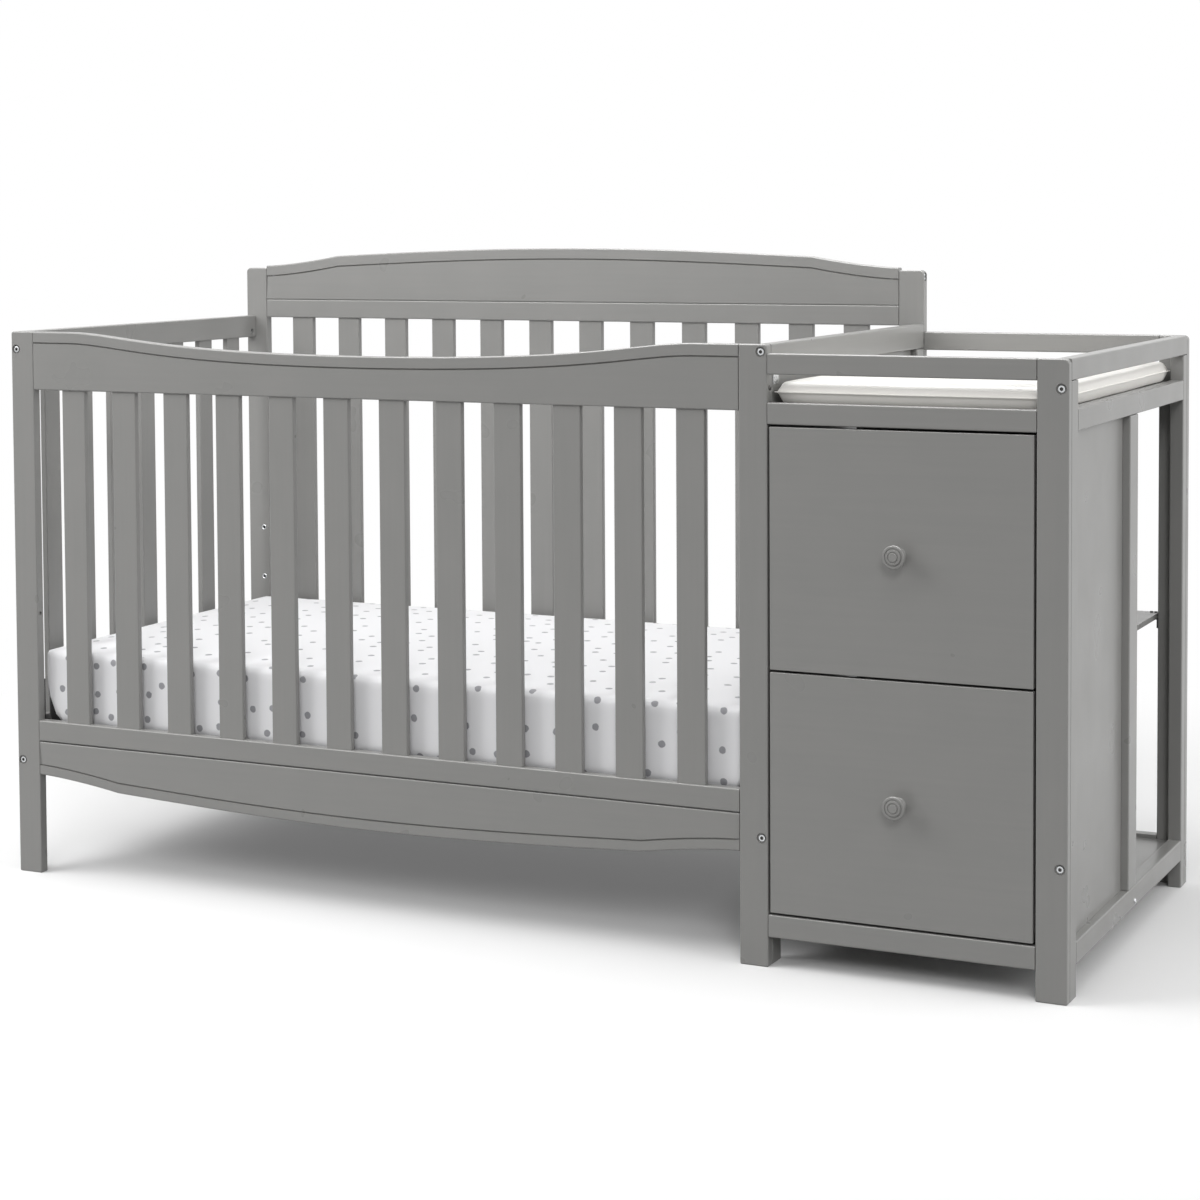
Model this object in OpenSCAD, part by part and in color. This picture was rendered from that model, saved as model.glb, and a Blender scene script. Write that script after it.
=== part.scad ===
// Full-size crib with an attached changing table and two drawers.
// X runs along the length (crib to changer), the front faces -Y, Z is up.
// Every piece is placed from the front left bottom corner of the furniture and then
// shifted so that the origin is at the middle of the footprint, on the floor.

/* [Crib] */
// Clear length inside the crib, between its end frames
inside_l = 1330; // [1290:5:1380]
// Clear width inside the crib, between front and back legs
inside_w = 712; // [700:2:740]
// Thickness of the crib's end frames
end_t = 20; // [20:1:24]
// Width of the legs and posts
leg_w = 45; // [42:1:60]
// Thickness of the crib's front and back boards
leg_t = 18; // [18:1:24]
// Height of the front legs
front_h = 922; // [900:2:960]
// How far the back posts rise above the front legs
back_step = 92; // [80:2:130]
// Radius of the eased outer top corner of the back posts and the changer's stiles
corner_r = 8; // [2:0.5:10]
// Radius of the eased outer top corner of the front legs
leg_r = 4; // [1:0.5:8]

/* [Crib rails] */
// Height of the front top rail at its ends
top_rail_h = 98; // [80:2:110]
// How far the front top rail dips in the middle
top_rail_dip = 30; // [10:1:36]
// Top of the bottom rails above the floor
bottom_rail_top = 262; // [255:1:280]
// Height of the bottom rails
bottom_rail_h = 35; // [30:1:50]
// Height of the apron's ends below the bottom rail
apron_h = 58; // [46:1:70]
// Drop of the apron from its ends to its two kinks
apron_kink = 17.5; // [6:0.5:24]
// Further drop of the apron from its kinks to its middle
apron_sag = 15; // [5:1:24]
// Distance of a kink from the leg, on the apron and the headboard
kink_x = 160; // [120:5:240]
// Depth of the decorative grooves
groove_d = 1.5; // [1:0.5:3]
// Width of the decorative grooves
groove_w = 2.5; // [2:0.5:4]
// Distance of a decorative groove from its edge
groove_in = 19; // [14:1:26]
// Height of the top rails of the two ends
end_rail_h = 41; // [35:1:60]
// Height of the bottom rails of the two ends
end_bottom_h = 92; // [80:1:110]

/* [Headboard] */
// Height of the headboard's lower rail
head_rail_h = 34.5; // [28:0.5:46]
// Height of the headboard panel at its ends
head_panel_h = 65; // [58:1:80]
// How far the headboard's ends rise above the posts
head_step = 4.5; // [0:0.5:8]
// Rise of the headboard from its ends to its kinks
head_kink = 19; // [8:1:26]
// Further rise of the headboard from its kinks to its peak
head_crown = 14.5; // [6:0.5:24]

/* [Slats] */
// Number of slats in the front, and in the back
slat_count = 12; // [11:1:14]
// Width of a front or back slat
slat_w = 46; // [40:1:50]
// Thickness of all slats
slat_t = 11; // [8:0.5:13]
// Number of slats in the left end
end_slat_count = 7; // [6:1:8]
// Width of a slat in the left end
end_slat_w = 42; // [36:1:48]
// Depth of the mortises that hold the slats
mortise_d = 8; // [4:1:12]
// Clearance round a slat or panel in its mortise or groove
wood_gap = 0.2; // [0.1:0.05:0.4]

/* [Changer] */
// Length that the changer adds to the crib
changer_l = 449; // [430:1:500]
// How far the changer's top lies below the top of the front legs
changer_step = 13; // [4:1:30]
// Thickness of the changer's front boards
face_t = 15; // [15:1:18]
// Width of the changer's front and rear right stiles
stile_w = 46; // [42:1:56]
// Thickness of the changer's side frame
side_t = 22; // [20:1:26]
// Height of the guard rails at the top
guard_h = 31; // [28:1:36]
// Height of the tray rails under the guard rails
tray_rail_h = 32; // [30:1:40]
// Open height between tray rail and guard rail
guard_gap = 41; // [36:1:46]
// Underside of the bottom rails above the floor
foot_h = 45; // [40:1:60]
// Height of the changer's bottom rails
base_rail_h = 34; // [32:1:44]
// Width of the side frame's front stile
side_front_w = 35; // [30:1:45]
// Width of the side frame's middle stile
side_mid_w = 49; // [40:1:55]
// Width of the side frame's rear stile
side_rear_w = 24; // [24:1:35]
// Front edge of the middle stile, from the front
side_mid_y = 352; // [350:1:370]
// Thickness of the thin panels in the side frames
panel_t = 6; // [5:0.5:7]
// How far those panels lie behind the frame's outer face
panel_in = 12; // [10:0.5:13]
// Depth of the grooves that hold those panels
panel_groove = 6; // [4:0.5:8]
// Thickness of the cabinet's back, floor and tray boards
board_t = 12; // [12:0.5:15]
// How far the tray's top lies below its rails
tray_drop = 4; // [2:0.5:6]
// How far the floor's top lies below its rails
floor_drop = 7; // [4:0.5:10]
// Thickness of the rear shelf
shelf_t = 9; // [8:0.5:12]
// Top of the rear shelf above the floor
shelf_z = 449; // [400:1:520]

/* [Drawers] */
// Gap round the drawer fronts
front_gap = 3.5; // [2.5:0.25:4]
// Height of the drawer boxes
box_h = 200; // [150:5:240]
// Room between the drawer boxes and the cabinet's back
box_room = 22; // [16:1:40]
// Thickness of the drawer boxes' sides and backs
box_t = 12; // [10:0.5:13]
// Thickness of the drawer bottoms
bottom_t = 4; // [3:0.5:5]
// Height of a drawer box's lower edge above its front's lower edge
box_lift = 14; // [12:1:20]
// How far a drawer opens
travel = 280; // [240:5:285]

/* [Knobs] */
// Diameter of a knob
knob_d = 34; // [26:1:38]
// How far a knob stands out from its drawer front
knob_out = 27; // [24:1:34]
// Thickness of a knob's head
knob_head = 9; // [7:0.5:11]
// Diameter of a knob's neck
knob_neck = 17; // [14:0.5:20]

/* [Runners] */
// Room for a runner on each side of a drawer
runner_w = 12.5; // [12.5:0.5:14]
// Sheet thickness of the runners
sheet_t = 1.2; // [1:0.1:1.5]
// Diameter of the runners' rollers
roller_d = 20; // [18:0.5:21]
// Width of the runners' rollers
roller_w = 6.8; // [6:0.1:7]
// Diameter of the rollers' pins
pin_d = 4; // [3:0.5:5]
// Clearance of a roller on its pin, and of a bolt in its bore
pin_gap = 0.05; // [0.02:0.01:0.1]
// Clearance above and below the rollers and between sliding sheets
slide_gap = 0.4; // [0.3:0.05:0.6]

/* [Hardware] */
// Diameter of the frame bolts
bolt_d = 6; // [5:0.5:7]
// Diameter of a bolt's head
bolt_head_d = 11; // [10:0.5:13]
// Thickness of a bolt's head
bolt_head_t = 3; // [2.5:0.25:4]
// Size of the hexagon socket across its corners
socket_d = 5; // [4:0.5:6]
// Diameter of a barrel nut
nut_d = 10; // [9:0.5:11]
// Length of a barrel nut
nut_l = 12; // [10:0.5:13]
// Distance of a barrel nut from the face that its bolt enters
nut_reach = 32; // [28:1:32]
// How far a bolt's end stands past the middle of its nut
bolt_end = 8; // [6:0.5:8]
// Clearance round a bolt's shank and head in the wood
bolt_gap = 0.3; // [0.15:0.05:0.6]
// Height of an end frame's bolts above the underside of its rails
bolt_rise = 11; // [8:0.5:14]
// Diameter of the spare mattress support holes
spare_d = 7; // [6:0.5:8]
// Depth of the spare mattress support holes
spare_deep = 12; // [8:1:14]
// Height of the guard rail's hole in the side of the left front leg
guard_hole_z = 444; // [420:1:480]

/* [Mattress support] */
// Height of the mattress support's top above the floor
support_z = 252; // [246:1:258]
// Size of the support's square steel tube
tube = 20; // [16:1:25]
// Diameter of the support's wires
wire_d = 5; // [4:0.5:7]
// Number of long wires
long_wires = 5; // [3:1:7]
// Number of cross wires
cross_wires = 11; // [7:1:15]
// Clearance between the support and the crib
support_gap = 4; // [2.5:0.5:6]
// Thickness of the support's corner brackets
bracket_t = 3; // [2.5:0.25:3.5]
// Width of the support's corner brackets
bracket_w = 22; // [18:1:24]
// Height of the lowest of the three support positions
level_low = 318; // [310:1:330]
// Step between the support positions
level_step = 96; // [80:4:100]

/* [Mattress and pad] */
// How much shorter the mattress is than the crib's inside
mattress_room_l = 20; // [18:1:60]
// How much narrower the mattress is than the crib's inside
mattress_room_w = 22; // [20:1:50]
// Thickness of the mattress
mattress_h = 125; // [100:1:150]
// Crown of the mattress
mattress_crown = 8; // [0:1:14]
// How far the mattress lies off centre, towards the changer
mattress_shift = 7; // [0:0.5:7]
// Thickness of the fitted sheet
sheet_cloth = 1.2; // [0.8:0.1:2]
// Height to which the sheet's hem is drawn up at the corners
hem_lift = 42; // [10:1:60]
// Thickness of the changing pad
pad_h = 27; // [20:1:34]
// Crown of the changing pad
pad_crown = 9; // [0:1:12]
// Clearance round the changing pad
pad_gap = 3; // [1:0.5:10]
// Clearance between a soft piece and what it lies on
soft_gap = 0.3; // [0.2:0.05:0.5]

/* [Hidden] */
$fn = 32;

WOOD = "#8d8c88";
STEEL = "#c9cacb";
DARK_STEEL = "#3a3a3c";

crib_l = inside_l + 2 * end_t;
length = crib_l + changer_l;
depth = inside_w + 2 * leg_t;
rail_x = leg_w;
rail_l = crib_l - 2 * leg_w;
back_y = depth - leg_t;
back_h = front_h + back_step;
centre_x = crib_l - leg_w;
end_in_x = crib_l - end_t;
top_rail_z = front_h - top_rail_h;
bottom_rail_z = bottom_rail_top - bottom_rail_h;
apron_z = bottom_rail_z - apron_h;
end_rail_z = front_h - end_rail_h;
end_bottom_z = bottom_rail_top - end_bottom_h;
head_panel_z = back_h + head_step - head_panel_h;
head_rail_z = head_panel_z - head_rail_h;
slat_y = (leg_t - slat_t) / 2;
slat_gap = (rail_l - slat_count * slat_w) / (slat_count + 1);
slat_pitch = slat_w + slat_gap;
end_slat_gap = (inside_w - end_slat_count * end_slat_w) / (end_slat_count + 1);
end_slat_pitch = end_slat_w + end_slat_gap;

side_x = length - side_t;
stile_x = length - stile_w;
changer_h = front_h - changer_step;
guard_z = changer_h - guard_h;
tray_rail_top = guard_z - guard_gap;
tray_rail_z = tray_rail_top - tray_rail_h;
base_top = foot_h + base_rail_h;
side_front_y = face_t;
side_front_end = side_front_y + side_front_w;
side_mid_end = side_mid_y + side_mid_w;
side_rear_y = back_y - side_rear_w;
panel_x = length - panel_in - panel_t;
end_panel_x = crib_l - panel_in - panel_t;
end_stile_end = leg_t + side_front_w;
end_rear_y = back_y - side_front_w;
floor_top = base_top - floor_drop;
tray_top = tray_rail_top - tray_drop;
cabinet_back_y = side_mid_end - board_t - 2;

open_w = stile_x - crib_l;
front_w = open_w - 2 * front_gap;
front_h_each = (tray_rail_z - base_top - 3 * front_gap) / 2;
lower_z = base_top + front_gap;
upper_z = lower_z + front_h_each + front_gap;
box_w = open_w - 2 * runner_w;
box_d = cabinet_back_y - face_t - box_room;
knob_x = crib_l + open_w / 2;

// Runner section: heights are measured from the lower edge of the drawer box.
roller_z = roller_d / 2 + slide_gap;
flange_z = roller_z + roller_d / 2 + slide_gap;
channel_low = -sheet_t;
channel_high = flange_z + sheet_t + slide_gap;
runner_y = face_t + 3;
runner_l = box_d - 3;
cabinet_roller_y = runner_y + 16;
drawer_roller_y = face_t + box_d - 15;
stop_y = drawer_roller_y - travel - roller_d;

mattress_z = support_z + soft_gap;
pad_l = side_x - crib_l - 2 * pad_gap;
pad_w = back_y - face_t - 2 * pad_gap;

origin_x = length / 2;
origin_y = (depth - knob_out) / 2;

spare_x = leg_w - (leg_w - end_t) / 2;
levels = [level_low, level_low + level_step, level_low + 2 * level_step];

// ---------------------------------------------------------------- shared shapes

module place() translate([-origin_x, -origin_y, 0]) children();

module box(x, y, z, l, w, h) translate([x, y, z]) cube([l, w, h]);

// Outline in X and Z, given a thickness along +Y from y
module upright(y, t) translate([0, y + t, 0]) rotate([90, 0, 0]) linear_extrude(t) children();

// A board that stands in X and Z, with an eased top corner on its left (-1) or right (1)
module post(x, y, w, t, h, r, side) upright(y, t) difference() {
    translate([x, 0]) square([w, h]);
    translate([side > 0 ? x + w - r : x + r, h - r]) difference() {
        translate([side > 0 ? 0 : -r, 0]) square(r);
        circle(r);
    }
}

// Smooth step from 0 to 1 with level ends: a cubic curve with handles a and b
function curve(a, b, steps) = [for (i = [0:steps]) let (t = i / steps)
    [3 * a * (1 - t) * (1 - t) * t + 3 * (1 - b) * (1 - t) * t * t + t * t * t,
     3 * (1 - t) * t * t + t * t * t]];

// Mirrors the left half of an outline's edge to its right half
function both_halves(half, mid) = concat(half,
    [for (i = [len(half) - 2:-1:0]) [2 * mid - half[i][0], half[i][1]]]);

// Left half of the front top rail's upper edge
dip_start = 0.11;
dip_edge = let (mid = rail_x + rail_l / 2, run = (1 - dip_start) * rail_l / 2)
    both_halves(concat([[rail_x, front_h]],
        [for (p = curve(0.17, 0.71, 14)) [rail_x + dip_start * rail_l / 2 + run * p[0],
            front_h - top_rail_dip * p[1]]]), mid);

// Edge with an S curve to a kink and a long arc to the middle: z rises by rise and bow
function kinked_edge(z, rise, bow) = let (mid = rail_x + rail_l / 2, run = mid - rail_x - kink_x)
    both_halves(concat(
        [for (i = [0:8]) let (t = i / 8) [rail_x + kink_x * t, z + rise * pow(t, 1.5)]],
        [for (i = [1:10]) let (t = i / 10) [rail_x + kink_x + run * t,
            z + rise + bow * sin(90 * t)]]), mid);

// Area between two edges that run the same way
module between(upper, lower) polygon(concat(upper,
    [for (i = [len(lower) - 1:-1:0]) lower[i]]));

function lowered(edge, d) = [for (p = edge) [p[0], p[1] - d]];

// Groove cut along an edge, d below it, into the face at y that looks along -Y
module groove(edge, d, y) upright(y - groove_d, 2 * groove_d)
    between(lowered(edge, d - groove_w / 2), lowered(edge, d + groove_w / 2));

module mortises(z, y) for (i = [0:slat_count - 1])
    box(rail_x + slat_gap + i * slat_pitch - wood_gap, y + slat_y - wood_gap, z - mortise_d,
        slat_w + 2 * wood_gap, slat_t + 2 * wood_gap, 2 * mortise_d);

module end_mortises(z) for (i = [0:end_slat_count - 1])
    box((end_t - slat_t) / 2 - wood_gap, leg_t + end_slat_gap + i * end_slat_pitch - wood_gap,
        z - mortise_d, slat_t + 2 * wood_gap, end_slat_w + 2 * wood_gap, 2 * mortise_d);

module slats(z0, z1, y) for (i = [0:slat_count - 1])
    box(rail_x + slat_gap + i * slat_pitch, y + slat_y, z0 - mortise_d + wood_gap,
        slat_w, slat_t, z1 - z0 + 2 * (mortise_d - wood_gap));

// ---------------------------------------------------------------- bolts

// Bolts as [x, y, z, direction]: 0 enters along +Y, 1 along -Y, 2 along +X, 3 along -X
left_x = end_t / 2;
right_x = crib_l - end_t / 2;
changer_x = length - side_t / 2;
low_z = end_bottom_z + 2 * bolt_rise;
end_high_z = end_rail_z + bolt_rise;
post_high_z = front_h - bolt_rise;
changer_high_z = guard_z - bolt_rise;
head_z = back_h - bolt_rise;
all_bolts = [for (d = [0, 1]) let (y = d * depth) each [
        [left_x, y, end_high_z, d], [left_x, y, low_z, d],
        [right_x, y, post_high_z, d], [right_x, y, low_z, d],
        [changer_x, y, changer_high_z, d], [changer_x, y, low_z, d]],
    [0, back_y + leg_t / 2, head_z, 2], [crib_l, back_y + leg_t / 2, head_z, 3]];

module toward(d) rotate(d == 0 ? [-90, 0, 0] : d == 1 ? [90, 0, 0]
    : d == 2 ? [0, 90, 0] : [0, -90, 0]) children();

module at_bolt(b) translate([b[0], b[1], b[2]]) toward(b[3]) children();

// Distance of a nut from its bolt's head: the headboard's bolts cross a post's whole width
function reach(b) = nut_reach + (b[3] > 1 ? leg_w - leg_t : 0);

module bolt_holes() for (b = all_bolts) at_bolt(b) {
    translate([0, 0, -1]) cylinder(h = bolt_head_t + 1 + bolt_gap, d = bolt_head_d + 2 * bolt_gap);
    cylinder(h = reach(b) + bolt_end + bolt_gap, d = bolt_d + 2 * bolt_gap);
}

// A nut lies across its bolt. Its own +Z looks at the face where its bore is open:
// the crib's inside on the end frames, and the rear on the headboard.
module at_nut(b) at_bolt(b) translate([0, 0, reach(b)])
    rotate(b[3] > 1 ? [-90, 0, 0] : [0, b[0] < end_t ? 90 : -90, 0]) children();

module nut_holes() for (b = all_bolts) at_nut(b) translate([0, 0, -nut_l / 2 - bolt_gap])
    cylinder(h = nut_l + side_t, d = nut_d + 2 * bolt_gap);

module frame_bolts() color(STEEL) place() for (b = all_bolts) at_bolt(b) difference() {
    union() {
        cylinder(h = bolt_head_t, d = bolt_head_d);
        cylinder(h = reach(b) + bolt_end, d = bolt_d);
    }
    translate([0, 0, -1]) cylinder(h = bolt_head_t, d = socket_d, $fn = 6);
}

module barrel_nuts() color(STEEL) place() for (b = all_bolts) difference() {
    at_nut(b) cylinder(h = nut_l, d = nut_d, center = true);
    at_bolt(b) cylinder(h = reach(b) + nut_d, d = bolt_d + 2 * pin_gap);
}

// Blind holes for the mattress support on the inner face of a leg
module support_holes(x, y, d) for (z = levels) translate([x, y, z]) toward(d)
    cylinder(h = spare_deep, d = spare_d);

// ---------------------------------------------------------------- crib front and back

module front_left_leg() color(WOOD) place() difference() {
    post(0, 0, leg_w, leg_t, front_h, leg_r, -1);
    bolt_holes();
    support_holes(spare_x, leg_t, 1);
    translate([leg_w, leg_t / 2, guard_hole_z]) toward(3) cylinder(h = spare_deep, d = bolt_d);
}

module centre_leg() color(WOOD) place() difference() {
    post(centre_x, 0, leg_w, leg_t, front_h, leg_r, 1);
    bolt_holes();
    support_holes(crib_l - spare_x, leg_t, 1);
}

module front_top_rail() color(WOOD) place() difference() {
    upright(0, leg_t) between(dip_edge, [[rail_x, top_rail_z], [rail_x + rail_l, top_rail_z]]);
    groove(dip_edge, groove_in, 0);
    mortises(top_rail_z, 0);
}

module front_bottom_rail() color(WOOD) place() difference() {
    box(rail_x, 0, bottom_rail_z, rail_l, leg_t, bottom_rail_h);
    mortises(bottom_rail_top, 0);
}

module front_apron() color(WOOD) place() {
    edge = kinked_edge(apron_z, -apron_kink, -apron_sag);
    difference() {
        upright(0.5, leg_t - 0.5) between(
            [[rail_x, bottom_rail_z], [rail_x + rail_l, bottom_rail_z]], edge);
        groove(edge, -groove_in + 2, 0.5);
    }
}

module front_slats() color(WOOD) place() slats(bottom_rail_top, top_rail_z, 0);

module back_left_post() color(WOOD) place() difference() {
    post(0, back_y, leg_w, leg_t, back_h, corner_r, -1);
    bolt_holes();
    support_holes(spare_x, back_y, 0);
}

module back_right_post() color(WOOD) place() difference() {
    post(centre_x, back_y, leg_w, leg_t, back_h, corner_r, 1);
    bolt_holes();
    support_holes(crib_l - spare_x, back_y, 0);
}

module headboard_panel() color(WOOD) place() {
    edge = kinked_edge(back_h + head_step, head_kink, head_crown);
    difference() {
        upright(back_y, leg_t) between(edge,
            [[rail_x, head_panel_z], [rail_x + rail_l, head_panel_z]]);
        groove(edge, groove_in + 1, back_y);
        bolt_holes();
        nut_holes();
    }
}

module headboard_rail() color(WOOD) place() difference() {
    box(rail_x, back_y, head_rail_z, rail_l, leg_t, head_rail_h);
    mortises(head_rail_z, back_y);
}

module back_bottom_rail() color(WOOD) place() difference() {
    box(rail_x, back_y, bottom_rail_z, rail_l, leg_t, bottom_rail_h);
    mortises(bottom_rail_top, back_y);
}

module back_slats() color(WOOD) place() slats(bottom_rail_top, head_rail_z, back_y);

// ---------------------------------------------------------------- crib ends

module left_end_top_rail() color(WOOD) place() difference() {
    box(0, leg_t, end_rail_z, end_t, inside_w, end_rail_h);
    end_mortises(end_rail_z);
    bolt_holes();
    nut_holes();
}

module left_end_bottom_rail() color(WOOD) place() difference() {
    box(0, leg_t, end_bottom_z, end_t, inside_w, end_bottom_h);
    end_mortises(bottom_rail_top);
    bolt_holes();
    nut_holes();
}

module left_end_slats() color(WOOD) place() for (i = [0:end_slat_count - 1])
    box((end_t - slat_t) / 2, leg_t + end_slat_gap + i * end_slat_pitch,
        bottom_rail_top - mortise_d + wood_gap, slat_t, end_slat_w,
        end_rail_z - bottom_rail_top + 2 * (mortise_d - wood_gap));

// Panel with its edges in the grooves of the frame round it; grow is the groove's clearance
module thin_panel(x, y0, y1, z0, z1, grow) box(x - grow,
    y0 - panel_groove + wood_gap - grow, z0 - panel_groove + wood_gap - grow, panel_t + 2 * grow,
    y1 - y0 + 2 * (panel_groove - wood_gap + grow), z1 - z0 + 2 * (panel_groove - wood_gap + grow));

module end_panel_solid(grow) thin_panel(end_panel_x, end_stile_end, end_rear_y, base_top,
    end_rail_z, grow);

module right_end_stiles() color(WOOD) place() difference() {
    union() {
        box(end_in_x, leg_t, 0, end_t, side_front_w, end_rail_z);
        box(end_in_x, end_rear_y, 0, end_t, side_front_w, end_rail_z);
    }
    end_panel_solid(wood_gap);
    bolt_holes();
    nut_holes();
}

module right_end_rails() color(WOOD) place() difference() {
    union() {
        box(end_in_x, leg_t, end_rail_z, end_t, inside_w, end_rail_h);
        box(end_in_x, end_stile_end, foot_h, end_t, end_rear_y - end_stile_end, base_rail_h);
    }
    end_panel_solid(wood_gap);
    bolt_holes();
    nut_holes();
}

module right_end_panel() color(WOOD) place() end_panel_solid(0);

// ---------------------------------------------------------------- mattress support

support_x0 = end_t + support_gap;
support_x1 = end_in_x - support_gap;
support_y0 = leg_t + support_gap;
support_y1 = back_y - support_gap;
support_bottom = support_z - tube;

module support_frame() color(DARK_STEEL) place() difference() {
    box(support_x0, support_y0, support_bottom, support_x1 - support_x0,
        support_y1 - support_y0, tube);
    box(support_x0 + tube, support_y0 + tube, support_bottom - 1,
        support_x1 - support_x0 - 2 * tube, support_y1 - support_y0 - 2 * tube, tube + 2);
}

// Wires run from tube to tube; the cross wires lie on the long wires
module support_wires() color(DARK_STEEL) place() {
    clear_y = support_y1 - support_y0 - 2 * tube;
    clear_x = support_x1 - support_x0 - 2 * tube;
    low = support_z - 1.5 * wire_d;
    union() {
        for (i = [1:long_wires])
            translate([support_x0 + tube, support_y0 + tube + clear_y * i / (long_wires + 1), low])
                rotate([0, 90, 0]) cylinder(h = clear_x, d = wire_d, $fn = 12);
        for (i = [1:cross_wires])
            translate([support_x0 + tube + clear_x * i / (cross_wires + 1), support_y0 + tube,
                low + wire_d * 0.9]) rotate([-90, 0, 0]) cylinder(h = clear_y, d = wire_d, $fn = 12);
    }
}

// Each corner has a flat plate up the leg's inner face, joined to the frame's tube
module at_corners() for (x = [spare_x, crib_l - spare_x], front = [0, 1])
    translate([x, front == 1 ? leg_t : back_y, 0]) mirror([0, front == 1 ? 0 : 1, 0]) children();

module support_brackets() color(DARK_STEEL) place() at_corners() difference() {
    union() {
        box(-bracket_w / 2, 0, support_bottom, bracket_w, bracket_t, level_low + 12 - support_bottom);
        box(-bracket_w / 2, 0, support_bottom, bracket_w, support_gap, tube);
    }
    translate([0, -1, level_low]) rotate([-90, 0, 0])
        cylinder(h = bracket_t + 2, d = bolt_d + 2 * bolt_gap);
}

module support_bolts() color(STEEL) place() at_corners() translate([0, 0, level_low])
    rotate([-90, 0, 0]) {
        translate([0, 0, -spare_deep + 1]) cylinder(h = spare_deep - 1 + bracket_t, d = bolt_d);
        translate([0, 0, bracket_t]) difference() {
            cylinder(h = bolt_head_t, d = bolt_head_d);
            translate([0, 0, bolt_head_t - 2]) cylinder(h = 3, d = socket_d, $fn = 6);
        }
    }

// ---------------------------------------------------------------- soft pieces

// Rounded rectangle: corner arcs and, on each side, two points near the corners
function round_rect(l, w, r, steps) = let (run = min(40, 0.7 * (min(l, w) / 2 - r)))
    [for (q = [0:3]) let (cx = (q == 0 || q == 3 ? 1 : -1) * (l / 2 - r),
        cy = (q < 2 ? 1 : -1) * (w / 2 - r))
        each concat(
            [[cx + r * cos(q * 90) + run * cos(q * 90 - 90), cy + r * sin(q * 90)
                + run * sin(q * 90 - 90)]],
            [for (k = [0:steps]) let (a = q * 90 + 90 * k / steps)
                [cx + r * cos(a), cy + r * sin(a)]],
            [[cx + r * cos(q * 90 + 90) + run * cos(q * 90 + 180), cy + r * sin(q * 90 + 90)
                + run * sin(q * 90 + 180)]])];

// Number of points in such a ring, and which of them lie on a corner
corner_steps = 5;
ring_n = 4 * (corner_steps + 3);
function on_corner(i, steps) = let (k = i % (steps + 3)) k > 0 && k < steps + 2;

function ring3(l, w, r, z, steps) = [for (p = round_rect(l, w, r, steps)) [p[0], p[1], z]];

// Closed solid through a list of rings of n points, from the top middle to the last middle
module ring_solid(rings, n, first, last) {
    count = len(rings);
    points = concat([first], [for (ring = rings) each ring], [last]);
    polyhedron(points, concat(
        [for (i = [0:n - 1]) [0, 1 + (i + 1) % n, 1 + i]],
        [for (j = [0:count - 2], i = [0:n - 1]) let (a = 1 + j * n + i,
            b = 1 + j * n + (i + 1) % n) each [[a, b, b + n], [a, b + n, a + n]]],
        [for (i = [0:n - 1]) [count * n + 1, 1 + (count - 1) * n + i,
            1 + (count - 1) * n + (i + 1) % n]]));
}

// Rings on a cushion's crowned top, from near the middle outwards
function crown_rings(l, w, top, crown, r, g) =
    [for (s = [0.75, 0.5, 0.28, 0.12]) ring3(l - s * w, w - s * w, max(r - s * w * 0.15, 8),
        top + crown * sin(90 * min(1, s * 1.4)) + g, corner_steps)];

// Rings round its eased top edge, grown by g
function edge_rings(l, w, top, r, edge, g) =
    [for (a = [90, 60, 30, 0]) ring3(l - 2 * edge * (1 - cos(a)) + 2 * g,
        w - 2 * edge * (1 - cos(a)) + 2 * g, r + g, top - edge * (1 - sin(a)) + g,
        corner_steps)];

mattress_r = 18;
mattress_edge = 12;
mattress_l = inside_l - mattress_room_l;
mattress_w = inside_w - mattress_room_w;
mattress_x = end_t + inside_l / 2 + mattress_shift;
mattress_y = leg_t + inside_w / 2;
mattress_top = mattress_h - sheet_cloth;

function mattress_skin(g) = concat(
    crown_rings(mattress_l, mattress_w, mattress_top, mattress_crown, mattress_r, g),
    edge_rings(mattress_l, mattress_w, mattress_top, mattress_r, mattress_edge, g));

module mattress() color("#2b2a2c") place() translate([mattress_x, mattress_y, mattress_z])
    ring_solid(concat(mattress_skin(0),
        [ring3(mattress_l, mattress_w, mattress_r, mattress_edge, corner_steps),
         ring3(mattress_l - mattress_edge, mattress_w - mattress_edge, mattress_r, 0,
            corner_steps)]),
        ring_n, [0, 0, mattress_top + mattress_crown], [0, 0, 0]);

// The sheet's hem, drawn up at the corners
function hem(g) = [for (i = [0:ring_n - 1]) let (p = round_rect(mattress_l + 2 * g,
    mattress_w + 2 * g, mattress_r + g, corner_steps)[i])
    [p[0], p[1], mattress_edge + (on_corner(i, corner_steps) ? hem_lift : 0)]];

// The sheet is a thin shell: outside from the top to the hem, then back up inside
module fitted_sheet() color("#f4f4f4") place() translate([mattress_x, mattress_y, mattress_z]) {
    inner = soft_gap;
    outer = soft_gap + sheet_cloth;
    under = concat(mattress_skin(inner), [hem(inner)]);
    ring_solid(concat(mattress_skin(outer), [hem(outer)],
        [for (j = [len(under) - 1:-1:0]) under[j]]), ring_n,
        [0, 0, mattress_top + mattress_crown + outer],
        [0, 0, mattress_top + mattress_crown + inner]);
}

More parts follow.
